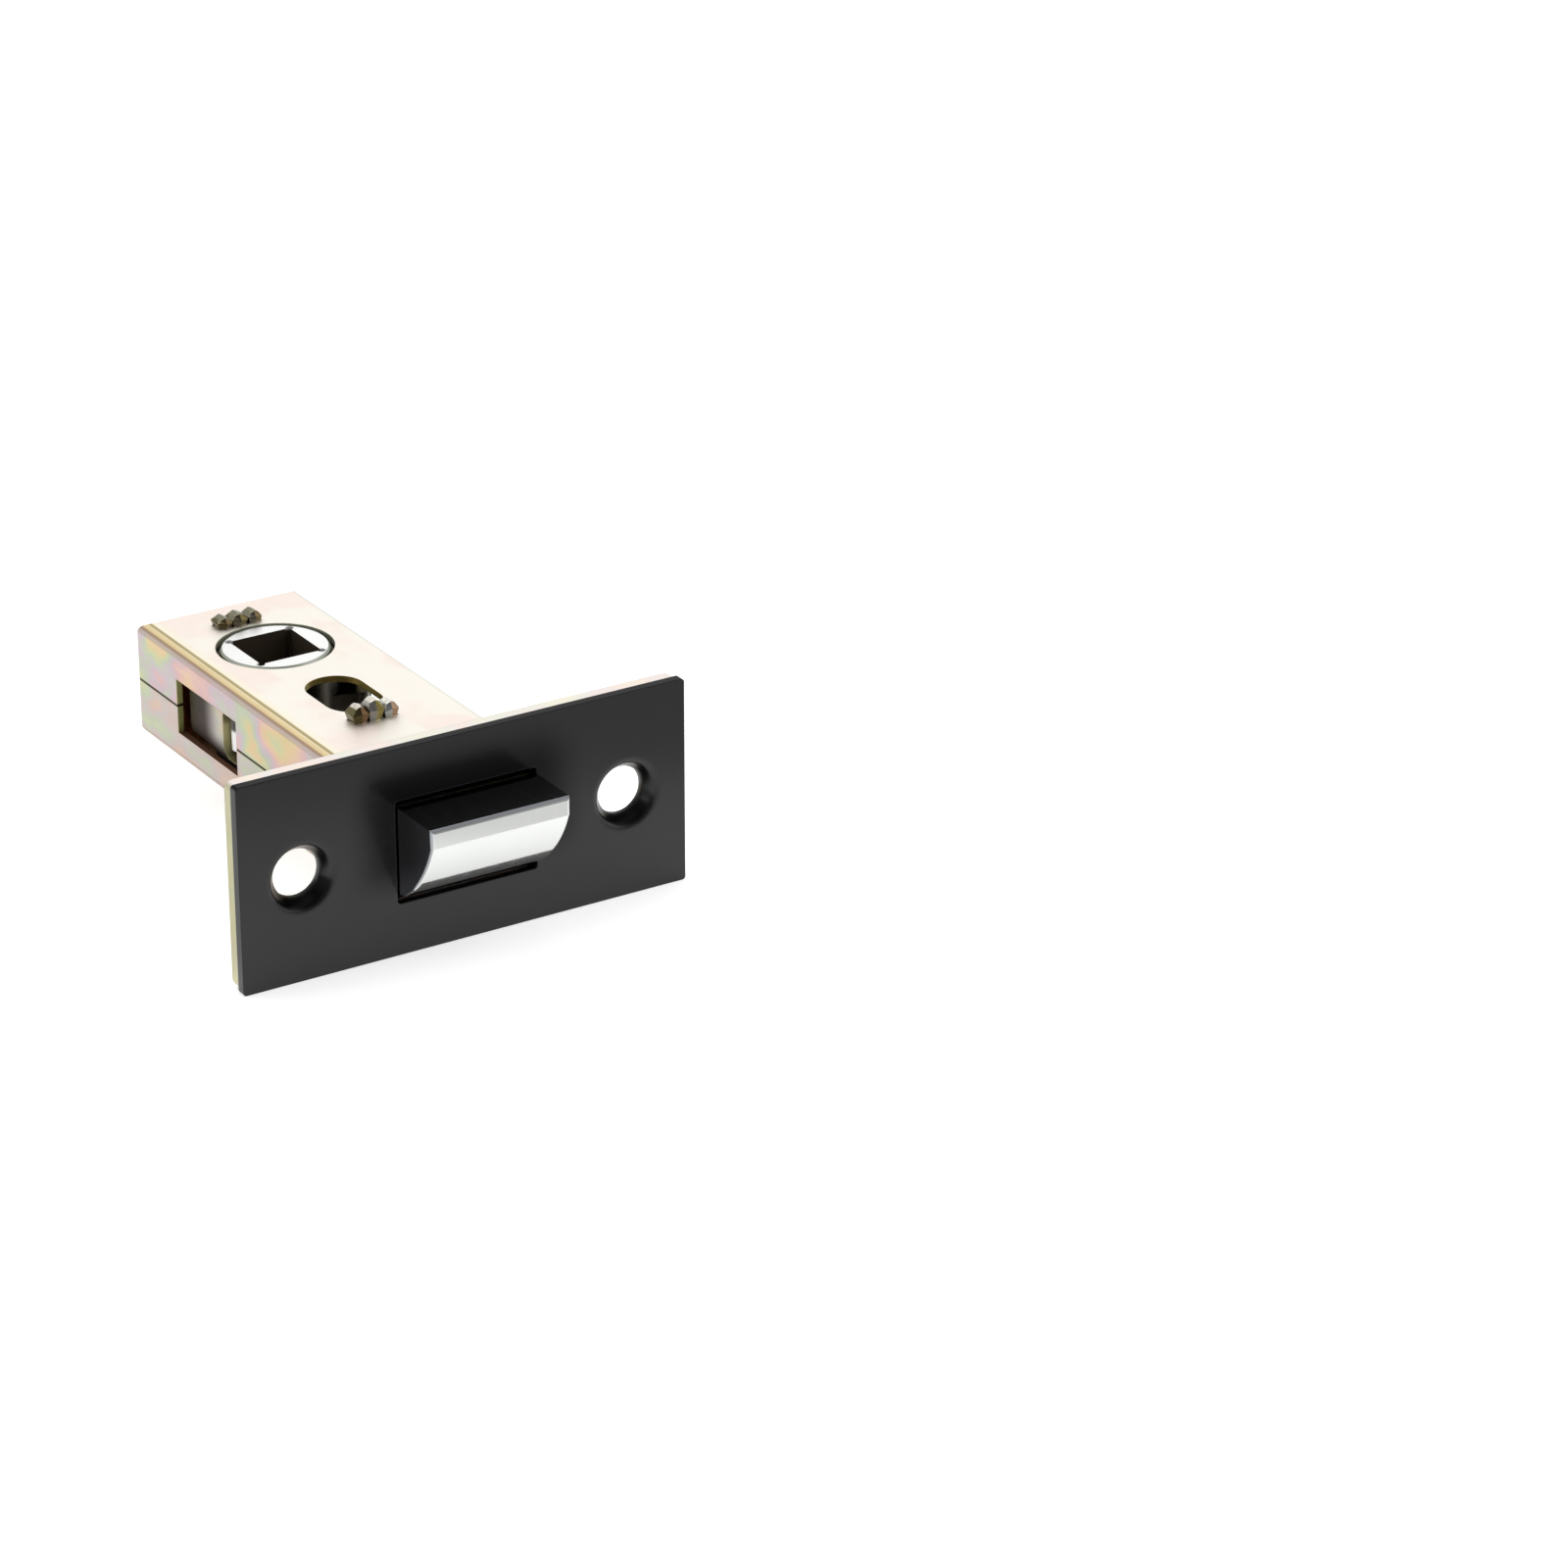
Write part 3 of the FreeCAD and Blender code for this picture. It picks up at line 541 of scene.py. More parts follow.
# %% Black powder coat
SCREW_X = 20.75
DIMPLE_RADIUS = 6.5
EDGE_ROUND = 0.22 * MM
DIMPLE_ROUND = 0.5 * MM
BOLT_HALF_WIDTH = 8.5
BOLT_HALF_HEIGHT = 5.5
SHADE_REACH = (1.0, 7.5)
SHADE_HEIGHT = (-6.0, -1.0)
SHADE_STRENGTH = 0.34
SHEEN = 0.5
UPWARD_SHEEN = 0.12
POWDER_DARK = (0.0024, 0.0024, 0.0025)
POWDER_LIGHT = (0.0044, 0.0044, 0.0045)
POWDER_ROUGHNESS = (0.18, 0.24)

powder, tree = new_material("black_powder_coat")
spot, facing = place_in_mm(tree)
x, _, z = parts_of(tree, spot)
from_screw = distance(tree, calc(tree, "SUBTRACT", x, SCREW_X), z)
dimple_round = calc(tree, "MULTIPLY", below(tree, from_screw, DIMPLE_RADIUS, 0.5), DIMPLE_ROUND)
edge = place_group(tree, edge_group, Radius=calc(tree, "ADD", EDGE_ROUND, dimple_round))
grain = place_group(tree, grain_group, Place=spot, Size=(0.22, 0.22, 0.22), Detail=2.0)
tone = mixed(tree, grain["Patches"], POWDER_DARK, POWDER_LIGHT)
gloss = ramp(tree, grain["Height"], 0.2, 0.8, *POWDER_ROUGHNESS)
aside = calc(tree, "MAXIMUM", calc(tree, "SUBTRACT", x, BOLT_HALF_WIDTH), 0.0)
higher = calc(tree, "MAXIMUM", calc(tree, "SUBTRACT", z, BOLT_HALF_HEIGHT), 0.0)
near_bolt = ramp(tree, distance(tree, aside, higher), *SHADE_REACH, 1.0, 0.0)
level = parts_of(tree, spot, absolute=False)[2]
shade = product(tree, near_bolt, ramp(tree, level, *SHADE_HEIGHT))
sheen = calc(tree, "SUBTRACT", SHEEN, calc(tree, "MULTIPLY", shade, SHADE_STRENGTH))
upward = ramp(tree, parts_of(tree, facing, absolute=False)[2], 0.3, 0.8)
sheen = calc(tree, "MULTIPLY", sheen, ramp(tree, upward, 0.0, 1.0, 1.0, UPWARD_SHEEN))
coat = add_node(tree, "BsdfPrincipled", Base_Color=tone, Roughness=gloss, IOR=1.5, Specular_IOR_Level=sheen,
                Normal=bumped(tree, grain["Height"], 0.006 * MM, 0.5, edge["Normal"]))
finish_material(tree, coat)
dress(nodes["face_plate"], powder)
print("dressed: face_plate")

# %% [markdown]
# The case is pressed from steel sheet, zinc plated and yellow passivated. On its flat walls the film is
# thin and the zinc is nearly white, with pinker patches. On the side walls and in the bends, where the
# sheet was stretched, the film is richer and shows its rainbow. The left bends have a gold band and a grey
# one, with thin olive and brown lines beside them. The right ones are painted pale grey, a painted
# reflection of the bright room that they mirror at a grazing angle. The lower half is a little greener.
# The sheet's cut edges are a dull olive, and the window's upright edges are brighter, a painted highlight.
# The walls behind the window are red and tan, and farther forward they get a painted shade. All these
# colours get their names first.

# %% Colours of the case
TOP_CREAM = (0.945, 0.905, 0.835)
TOP_PINK = (0.94, 0.84, 0.77)
TOP_YELLOW = (0.94, 0.89, 0.74)
LOWER_GREEN = (0.60, 0.62, 0.42)
BEND_GOLD = (0.74, 0.58, 0.29)
BEND_GREY = (0.56, 0.46, 0.42)
BEND_OLIVE = (0.46, 0.37, 0.17)
BEND_BROWN = (0.42, 0.29, 0.20)
FAR_BEND_REFLECTION = (0.80, 0.82, 0.74)
ZINC_OLIVE = (0.34, 0.33, 0.12)
CUT_HIGHLIGHT = (0.80, 0.84, 0.36)
SILL_BROWN = (0.20, 0.10, 0.06)
SLOT_WALL = (0.52, 0.40, 0.12)
HOLE_WALL_REFLECTION = (0.72, 0.74, 0.60)
SEAM = (0.07, 0.07, 0.035)
INSIDE_SHADE = (0.06, 0.035, 0.02)
INSIDE_RED = (0.90, 0.36, 0.19)
INSIDE_TAN = (1.00, 0.66, 0.36)
print("case colours ready")

# %% [markdown]
# The material finds the cut edges by comparing where a point is with the way that it faces: a point within
# the thickness of a wall that doesn't face outwards lies on a cut. The same comparison finds the inside of
# the case. Its end wall's inner side is left out, and so is its outside, which faces backwards too.

# %% Masks of the case
CASE_INSIDE_X = 9.80
CASE_INSIDE_Z = 6.20
CASE_OUTSIDE_Z = 7.00
SKIN = 0.03
END_WALL_Y = 58.5
WINDOW_BACK_Y = 55.0

case_zinc, tree = new_material("case_zinc")
spot, facing = place_in_mm(tree)
x, y, z = parts_of(tree, spot)
nx, ny, nz = parts_of(tree, facing)
left_to_right, _, level = parts_of(tree, spot, absolute=False)
near_side = below(tree, left_to_right, 0.0)
lower_half = flipped(tree, above(tree, level, 0.0))
in_side_wall = product(tree, above(tree, x, CASE_INSIDE_X), below(tree, nx, FACES, 0.1),
                       below(tree, z, CASE_INSIDE_Z - 0.5))
in_flat_wall = product(tree, above(tree, z, CASE_INSIDE_Z), below(tree, nz, FACES, 0.1),
                       below(tree, x, CASE_INSIDE_X - 0.4), below(tree, y, END_WALL_Y))
cut = calc(tree, "MAXIMUM", in_side_wall, in_flat_wall)
faces_back = above(tree, parts_of(tree, facing, absolute=False)[1], FACES)
inner_face = product(tree, below(tree, x, CASE_INSIDE_X + SKIN, 0.02),
                     below(tree, z, CASE_INSIDE_Z + SKIN, 0.02), flipped(tree, faces_back))
sill = calc(tree, "MULTIPLY", in_side_wall, above(tree, nz, FACES, 0.2))
upright = product(tree, in_side_wall, above(tree, ny, FACES, 0.2), below(tree, y, WINDOW_BACK_Y))
seam = product(tree, below(tree, z, 0.17, 0.06), above(tree, calc(tree, "MAXIMUM", nx, ny), FACES))
print("case masks ready")

# %% [markdown]
# The film's colours are laid over each other, the widest first: the flat walls, the side walls, the bands
# in the bends, and the thin lines. A bend has no border of its own, so the bands follow how far the surface
# has turned upwards.

# %% Film of the case
PINK_FILM = (0.44, 0.60)
YELLOW_X = (7.8, 9.0)
END_WALL_RICHNESS = 0.8
SIDE_TURN = (0.2, 0.9)
FULL_RICHNESS = 0.96
LOWER_GREEN_SHARE = 0.30
BEND_TURN = (0.04, 0.30)
BEND_SHARE = 0.85
GREY_TO_GOLD_TURN = (0.62, 0.76)
OLIVE_LINE_X = 9.35
BROWN_LINE_TURN = 0.68
LOW_LINE_TURN = 0.14
LOW_LINE_SHARE = 0.5

tint = place_group(tree, film, Place=spot, Patch_Size=5.6, Drift=1.7, Bands=3.0)
top = mixed(tree, ramp(tree, tint["Thickness"], *PINK_FILM), TOP_CREAM, TOP_PINK)
top = mixed(tree, product(tree, ramp(tree, x, *YELLOW_X), near_side), top, TOP_YELLOW)
walls = mixed(tree, calc(tree, "MULTIPLY", lower_half, LOWER_GREEN_SHARE), tint["Tint"], LOWER_GREEN)
side = calc(tree, "MAXIMUM", nx, calc(tree, "MULTIPLY", ny, END_WALL_RICHNESS))
colour = mixed(tree, ramp(tree, side, *SIDE_TURN, 0.0, FULL_RICHNESS), top, walls)
near_bend = mixed(tree, ramp(tree, nz, *GREY_TO_GOLD_TURN), BEND_GREY, BEND_GOLD)
bend = ramp(tree, calc(tree, "MINIMUM", nx, nz), *BEND_TURN)
# On the far, right-hand side the bend is painted pale grey, a painted reflection of the bright room.
bend_colour = mixed(tree, near_side, FAR_BEND_REFLECTION, near_bend)
colour = mixed(tree, calc(tree, "MULTIPLY", bend, BEND_SHARE), colour, bend_colour)
olive_line = product(tree, line(tree, x, OLIVE_LINE_X, 0.24, 0.16),
                     above(tree, z, CASE_OUTSIDE_Z - 0.4, 0.1), near_side)
brown_line = product(tree, line(tree, nz, BROWN_LINE_TURN, 0.11, 0.08), above(tree, nx, 0.4, 0.1), near_side)
low_line = product(tree, line(tree, nz, LOW_LINE_TURN, 0.06, 0.05), above(tree, nx, 0.9, 0.05), near_side)
colour = mixed(tree, olive_line, colour, BEND_OLIVE)
colour = mixed(tree, brown_line, colour, BEND_BROWN)
colour = mixed(tree, calc(tree, "MULTIPLY", low_line, LOW_LINE_SHARE), colour, BEND_BROWN)
print("film of the case ready")

# %% [markdown]
# The cut edges, the seam between the halves and the inside come last, over the film. The window's sill has
# a tone of its own, and its upright edges are painted brighter, a painted highlight. The walls of the holes
# in the flat walls have tones of their own: the slot's is olive, and the hub hole's is painted pale, a
# painted reflection of the bright hub. Inside, the walls are lit only near the window, so farther forward
# they are painted dark, a painted shade. A mirror in there would show the pale room, so they are less
# metallic than the rest.

# %% Zinc passivate of the case
HOLES_Y = (22.0, 52.2)
SLOT_END_Y = 36.0
EDGE_OLIVE_SHARE = 0.30
LIT_INSIDE_Y = (44.0, 47.0)
INSIDE_SHARE = 0.97
INSIDE_DULLNESS = 0.85
CASE_ROUGHNESS = (0.30, 0.40)
CUT_ROUGHNESS = 0.15
TOP_TURN = (0.8, 0.95)
TOP_ROUGHNESS = 0.20

edge = place_group(tree, edge_group, Radius=0.14 * MM)
grain = place_group(tree, grain_group, Place=spot, Size=(0.10, 0.35, 0.10), Detail=2.0)
# The window's upright cut edges are painted brighter than the other cut edges, a painted highlight.
cut_colour = mixed(tree, sill, mixed(tree, upright, ZINC_OLIVE, CUT_HIGHLIGHT), SILL_BROWN)
colour = mixed(tree, cut, colour, cut_colour)
in_hole = product(tree, in_flat_wall, below(tree, y, HOLES_Y[1]), above(tree, y, HOLES_Y[0]))
# The hub hole's wall is painted pale, a painted reflection of the bright hub beside it.
colour = mixed(tree, in_hole, colour, mixed(tree, above(tree, y, SLOT_END_Y), SLOT_WALL, HOLE_WALL_REFLECTION))
colour = mixed(tree, seam, colour, SEAM)
colour = mixed(tree, calc(tree, "MULTIPLY", edge["Edge"], EDGE_OLIVE_SHARE), colour, ZINC_OLIVE)
# In front of y = 44 mm the inside walls are painted nearly black, a painted shade.
lit_inside = ramp(tree, y, *LIT_INSIDE_Y)
lit_colour = mixed(tree, above(tree, nz, FACES), INSIDE_RED, INSIDE_TAN)
inside = mixed(tree, lit_inside, INSIDE_SHADE, lit_colour)
colour = mixed(tree, calc(tree, "MULTIPLY", inner_face, INSIDE_SHARE), colour, inside)
gloss = ramp(tree, grain["Patches"], *NOISE_SPAN, *CASE_ROUGHNESS)
gloss = calc(tree, "ADD", gloss, calc(tree, "MULTIPLY", cut, CUT_ROUGHNESS))
gloss = calc(tree, "ADD", gloss, ramp(tree, nz, *TOP_TURN, 0.0, TOP_ROUGHNESS))
dull_share = product(tree, inner_face, lit_inside, INSIDE_DULLNESS)
plated = add_node(tree, "BsdfPrincipled", Base_Color=colour, Roughness=gloss,
                  Metallic=flipped(tree, dull_share),
                  Normal=bumped(tree, grain["Height"], 0.004 * MM, 0.5, edge["Normal"]))
finish_material(tree, plated)
for name in ("upper_case_half", "lower_case_half"):
    dress(nodes[name], case_zinc)
print("dressed: both case halves")

# %% [markdown]
# The inner plate has the same plating, but it is thicker and flat. Little of it shows: its top edge, which
# is nearly white, and one end, where the sheared edge is olive and green. The walls of its opening lie in
# the dark around the bolt, so they are painted nearly black, a painted shade, and its recesses get the
# painted shade of the recess group too.

# %% Zinc passivate of the inner plate
ZINC_PALE = (0.95, 0.91, 0.84)
SHEARED_GREEN = (0.50, 0.50, 0.25)
OPENING_SHADE = (0.006, 0.006, 0.004)
OPENING_X = 9.3
OPENING_Z = 6.1
FACE_TINT = (0.30, 0.75)
SHEARED_SHARE = 0.75
PLATE_OLIVE_SHARE = 0.25
PLATE_ROUGHNESS = (0.32, 0.42)

plate_zinc, tree = new_material("plate_zinc")
spot, facing = place_in_mm(tree)
x, _, z = parts_of(tree, spot)
nx, ny, _ = parts_of(tree, facing)
tint = place_group(tree, film, Place=spot, Patch_Size=7.0, Drift=4.1, Bands=3.0)
edge = place_group(tree, edge_group, Radius=0.16 * MM)
grain = place_group(tree, grain_group, Place=spot, Size=(0.35, 0.10, 0.10), Detail=2.0)
recess = place_group(tree, recess_shade_group)
colour = mixed(tree, ramp(tree, ny, 0.3, 0.9, *FACE_TINT), ZINC_PALE, tint["Tint"])
colour = mixed(tree, ramp(tree, nx, 0.4, 0.8, 0.0, SHEARED_SHARE), colour, SHEARED_GREEN)
colour = mixed(tree, calc(tree, "MULTIPLY", edge["Edge"], PLATE_OLIVE_SHARE), colour, ZINC_OLIVE)
# Deep in recesses the plate gets a painted shade.
colour = mixed(tree, calc(tree, "MULTIPLY", recess["Depth"], PAINTED_SHADE_SHARE), colour, PAINTED_SHADE)
# The opening's walls are painted nearly black, a painted shade.
in_opening = product(tree, below(tree, x, OPENING_X), below(tree, z, OPENING_Z))
colour = mixed(tree, in_opening, colour, OPENING_SHADE)
plated = add_node(tree, "BsdfPrincipled", Base_Color=colour, Metallic=1.0,
                  Roughness=ramp(tree, grain["Patches"], *NOISE_SPAN, *PLATE_ROUGHNESS),
                  Normal=bumped(tree, grain["Height"], 0.004 * MM, 0.5, edge["Normal"]))
finish_material(tree, plated)
dress(nodes["inner_face_plate"], plate_zinc)
print("dressed: inner_face_plate")

# %% [markdown]
# The yoke is a bent steel strap inside the case. Through the window its flat side looks pinkish, and its
# edges olive. Towards the hub and towards its lower edge, where little light gets in, it is painted dark, a
# painted shade, and so is its inner side. It slides along the case, so it has fine scratches lengthwise.

# %% Zinc passivate of the yoke
STRAP_PINK = (0.70, 0.62, 0.61)
STRAP_SHADE = (0.045, 0.032, 0.025)
STRAP_OLIVE = (0.62, 0.58, 0.32)
STRAP_FILM_SHARE = 0.45
STRAP_SHADE_SHARE = 0.95
REARWARD_Y = (41.5, 45.8)
DOWNWARD_Z = (-3.4, -0.8)
ARM_INNER_X = 8.2
INNER_SHADE_SHARE = 0.92
STRAP_ROUGHNESS = 0.50
SCRATCHED_ROUGHNESS = 0.15

yoke_zinc, tree = new_material("yoke_zinc")
spot, facing = place_in_mm(tree)
_, ny, nz = parts_of(tree, facing)
left_to_right, y, level = parts_of(tree, spot, absolute=False)
tint = place_group(tree, film, Place=spot, Patch_Size=6.0, Drift=7.3, Bands=2.0)
edge = place_group(tree, edge_group, Radius=0.12 * MM)
scratch = place_group(tree, scratch_group, Place=spot, Size=(0.10, 5.0, 0.10), Share=0.60)
colour = mixed(tree, STRAP_FILM_SHARE, STRAP_PINK, tint["Tint"])
# Towards the hub and towards the lower edge the strap is painted dark, a painted shade.
rearward = ramp(tree, y, *REARWARD_Y, 0.0, STRAP_SHADE_SHARE)
downward = ramp(tree, level, *DOWNWARD_Z, STRAP_SHADE_SHARE, 0.0)
for dark in (rearward, downward):
    colour = mixed(tree, dark, colour, STRAP_SHADE)
on_edge = ramp(tree, calc(tree, "MAXIMUM", ny, nz), 0.5, 0.9)
colour = mixed(tree, on_edge, colour, STRAP_OLIVE)
# The arm's inner side gets the same painted shade.
inward = below(tree, calc(tree, "ABSOLUTE", left_to_right), ARM_INNER_X + SKIN, 0.02)
colour = mixed(tree, calc(tree, "MULTIPLY", inward, INNER_SHADE_SHARE), colour, PAINTED_SHADE)
scratched = calc(tree, "MULTIPLY", scratch["Scratch"], SCRATCHED_ROUGHNESS)
strap = add_node(tree, "BsdfPrincipled", Base_Color=colour, Metallic=1.0,
                 Roughness=calc(tree, "ADD", STRAP_ROUGHNESS, scratched), Normal=edge["Normal"])
finish_material(tree, strap)
dress(nodes["retractor_yoke"], yoke_zinc)
print("dressed: retractor_yoke")

# %% [markdown]
# The hub is a zinc casting, barrel finished and left bright. It is the whitest piece of the latch: a pale
# metal with a soft skin, and a fine line of painted shade round its rim. The walls of its square hole lie in
# the dark and are painted dark and dull, a painted shade, and so are the gap around it and the tops of its
# ears. The small reliefs in the square's corners are pale near the top, so that the square keeps its plain
# outline.

# %% Masks of the hub
BACKSET = 45.0
SQUARE_HALF = 4.0
RELIEF_REACH = 0.6
BOSS_RADIUS = 6.5
RIM_WIDTH = 0.28
EAR_CLEAN = 8.3
HUB_TOP = 7.0

hub_zinc, tree = new_material("hub_zinc")
spot, facing = place_in_mm(tree)
x, y, z = parts_of(tree, spot)
level = parts_of(tree, spot, absolute=False)[2]
from_axis = calc(tree, "ABSOLUTE", calc(tree, "SUBTRACT", y, BACKSET))
from_centre = distance(tree, x, from_axis)
from_middle = calc(tree, "MAXIMUM", x, from_axis)
wall = below(tree, parts_of(tree, facing)[2], FACES, 0.2)
near_top = above(tree, z, HUB_TOP - 0.4, 0.15)
in_relief = product(tree, above(tree, from_middle, SQUARE_HALF + SKIN, 0.02),
                    below(tree, from_middle, SQUARE_HALF + RELIEF_REACH), wall)
relief_top = calc(tree, "MULTIPLY", in_relief, near_top)
in_square = product(tree, below(tree, from_middle, SQUARE_HALF + SKIN, 0.02), wall)
in_square = calc(tree, "MAXIMUM", in_square, calc(tree, "MULTIPLY", in_relief, flipped(tree, near_top)))
in_gap = product(tree, above(tree, from_centre, BOSS_RADIUS - 0.05),
                 below(tree, z, CASE_OUTSIDE_Z - 0.4, 0.2), below(tree, x, EAR_CLEAN, 0.2))
rim = product(tree, above(tree, from_centre, BOSS_RADIUS - RIM_WIDTH, 0.03),
              above(tree, z, CASE_OUTSIDE_Z - 0.4, 0.1))
ear_top = product(tree, above(tree, x, EAR_CLEAN), above(tree, level, 0.5, 0.3))
print("hub masks ready")

# %% Bright zinc of the hub
HUB_GREY = (0.90, 0.90, 0.88)
HUB_WHITE = (0.97, 0.97, 0.96)
HUB_SCRATCHED = (0.70, 0.70, 0.68)
HUB_SCRATCH_SHARE = 0.25
RIM_SHADE = (0.24, 0.26, 0.20)
RIM_SHADE_SHARE = 0.85
SHADED_SHARE = 0.93
SQUARE_SHADE = (0.06, 0.045, 0.03)
HUB_ROUGHNESS = (0.30, 0.40)

edge = place_group(tree, edge_group, Radius=0.15 * MM)
grain = place_group(tree, grain_group, Place=spot, Size=(0.18, 0.18, 0.18), Detail=3.0)
scratch = place_group(tree, scratch_group, Place=spot, Size=(2.5, 0.10, 0.5), Share=0.64)
colour = mixed(tree, grain["Patches"], HUB_GREY, HUB_WHITE)
colour = mixed(tree, calc(tree, "MULTIPLY", scratch["Scratch"], HUB_SCRATCH_SHARE), colour, HUB_SCRATCHED)
# A fine ring of painted shade round the rim.
colour = mixed(tree, calc(tree, "MULTIPLY", rim, RIM_SHADE_SHARE), colour, RIM_SHADE)
# The square's walls, the gap round the boss and the tops of the ears get a painted shade.
shaded = calc(tree, "MAXIMUM", ear_top, calc(tree, "MAXIMUM", in_square, in_gap))
colour = mixed(tree, calc(tree, "MULTIPLY", shaded, SHADED_SHARE), colour, PAINTED_SHADE)
colour = mixed(tree, in_square, colour, SQUARE_SHADE)
colour = mixed(tree, relief_top, colour, HUB_WHITE)
not_metal = calc(tree, "MAXIMUM", in_square, relief_top)
cast = add_node(tree, "BsdfPrincipled", Base_Color=colour, Metallic=flipped(tree, not_metal),
                Roughness=ramp(tree, grain["Height"], *NOISE_SPAN, *HUB_ROUGHNESS),
                Normal=bumped(tree, grain["Height"], 0.008 * MM, 0.5, edge["Normal"]))
finish_material(tree, cast)
dress(nodes["hub"], hub_zinc)
print("dressed: hub")

# %% [markdown]
# The bolt is cast, polished and plated, so it acts as a mirror that is a little soft. Its curved nose is
# white because it mirrors the pale floor, and its top and its side look dark because they mirror the black
# plate. The mirror alone leaves those two a little too light, so a painted shade gives their plate a greyer
# tone, and a darker painted shade lies on the fine rounds along their edges. Polishing lines make it
# slightly rougher in places.

# %% Polished plate of the bolt
CHROME_WARM = (0.85, 0.865, 0.84)
CHROME_PALE = (0.885, 0.895, 0.875)
FLANK_SHADE = (0.57, 0.58, 0.62)
FLANK_TURN = (0.75, 0.95)
TOP_EDGE_SHADE = (0.20, 0.205, 0.22)
TOP_EDGE_SHARE = 0.95
SIDE_EDGE_SHADE = (0.22, 0.24, 0.26)
SIDE_EDGE_SHARE = 0.8
CHROME_ROUGHNESS = 0.07
POLISHING_ROUGHNESS = 0.10


def rounded_edge(tree, turned):
    """1 on the round of an edge, where the surface has only partly turned to a side."""
    return product(tree, ramp(tree, turned, 0.30, 0.70), below(tree, turned, 0.985, 0.01))


bolt_plate, tree = new_material("bolt_chrome")
spot, facing = place_in_mm(tree)
edge = place_group(tree, edge_group, Radius=0.05 * MM)
scratch = place_group(tree, scratch_group, Place=spot, Size=(0.12, 6.0, 3.0), Share=0.58)
grain = place_group(tree, grain_group, Place=spot, Size=(0.5, 0.5, 0.5), Detail=2.0)
sideways = parts_of(tree, facing)[0]
upward = parts_of(tree, facing, absolute=False)[2]
flank = ramp(tree, calc(tree, "MAXIMUM", sideways, upward), *FLANK_TURN)
top_edge = calc(tree, "MULTIPLY", rounded_edge(tree, upward), TOP_EDGE_SHARE)
side_edge = calc(tree, "MULTIPLY", rounded_edge(tree, sideways), SIDE_EDGE_SHARE)
colour = mixed(tree, grain["Patches"], CHROME_WARM, CHROME_PALE)
# The top and the side are greyed by a painted shade, and their edge rounds are darker still.
colour = mixed(tree, flank, colour, FLANK_SHADE)
colour = mixed(tree, top_edge, colour, TOP_EDGE_SHADE)
colour = mixed(tree, side_edge, colour, SIDE_EDGE_SHADE)
polishing_lines = calc(tree, "MULTIPLY", scratch["Scratch"], POLISHING_ROUGHNESS)
plated = add_node(tree, "BsdfPrincipled", Base_Color=colour, Metallic=1.0,
                  Roughness=calc(tree, "ADD", CHROME_ROUGHNESS, polishing_lines),
                  Normal=bumped(tree, grain["Height"], 0.004 * MM, 0.3, edge["Normal"]))
finish_material(tree, plated)
dress(nodes["latch_bolt"], bolt_plate)
print("dressed: latch_bolt")

# %% [markdown]
# The spring is a coil of round wire with closed ends. The solid model holds a plain helix in its place. A
# tube that is swept along a helix with tighter end turns is closer to the real one. The bolt squashes the
# spring when it is drawn back.

# %% Spring wire
WIRE_DARK = (0.42, 0.42, 0.43)
WIRE_LIGHT = (0.58, 0.57, 0.56)
WIRE_ROUGHNESS = (0.24, 0.36)
spring_steel, tree = new_material("spring_steel")
spot, facing = place_in_mm(tree)
grain = place_group(tree, grain_group, Place=spot, Size=(0.06, 0.9, 0.06), Detail=2.0)
wire = add_node(tree, "BsdfPrincipled", Base_Color=mixed(tree, grain["Patches"], WIRE_DARK, WIRE_LIGHT),
                Metallic=1.0, Roughness=ramp(tree, grain["Height"], *NOISE_SPAN, *WIRE_ROUGHNESS))
finish_material(tree, wire)
print("material:", spring_steel.name)

# %% Coil of the spring
SPRING_FRONT = 0.85
SPRING_BACK = 19.55
SPRING_RADIUS = 3.15
WIRE_RADIUS = 0.45
WIRE_SIDES = 12
SPRING_TURNS = 10.0
STEPS_A_TURN = 36


def swept_tube(points, radius, sides):
    """A closed tube of round section along a line of points."""
    shape = bmesh.new()
    rings = []
    for i, point in enumerate(points):
        along = (points[min(i + 1, len(points) - 1)] - points[max(i - 1, 0)]).normalized()
        out = Vector((point.x, 0, point.z)).normalized()
        across = along.cross(out).normalized()
        out = across.cross(along)
        turns = [2 * math.pi * k / sides for k in range(sides)]
        ring = [point + (out * math.cos(a) + across * math.sin(a)) * radius for a in turns]
        rings.append([shape.verts.new(corner) for corner in ring])
    for first, second in zip(rings, rings[1:]):
        for k in range(sides):
            shape.faces.new((first[k], first[(k + 1) % sides], second[(k + 1) % sides], second[k]))
    shape.faces.new(reversed(rings[0]))
    shape.faces.new(rings[-1])
    bmesh.ops.recalc_face_normals(shape, faces=shape.faces)
    return shape


def spring_line():
    """Points along the coil, with one closed turn at each end."""
    low, high = SPRING_FRONT + WIRE_RADIUS, SPRING_BACK - WIRE_RADIUS
    closed = 2 * WIRE_RADIUS
    points = []
    steps = int(SPRING_TURNS * STEPS_A_TURN)
    for i in range(steps + 1):
        turn = SPRING_TURNS * i / steps
        if turn < 1:
            rise = closed * turn
        elif turn > SPRING_TURNS - 1:
            rise = high - low - closed * (SPRING_TURNS - turn)
        else:
            rise = closed + (high - low - 2 * closed) * (turn - 1) / (SPRING_TURNS - 2)
        angle = 2 * math.pi * turn
        point = Vector((SPRING_RADIUS * math.cos(angle), low + rise, SPRING_RADIUS * math.sin(angle)))
        points.append(point * MM)
    return points


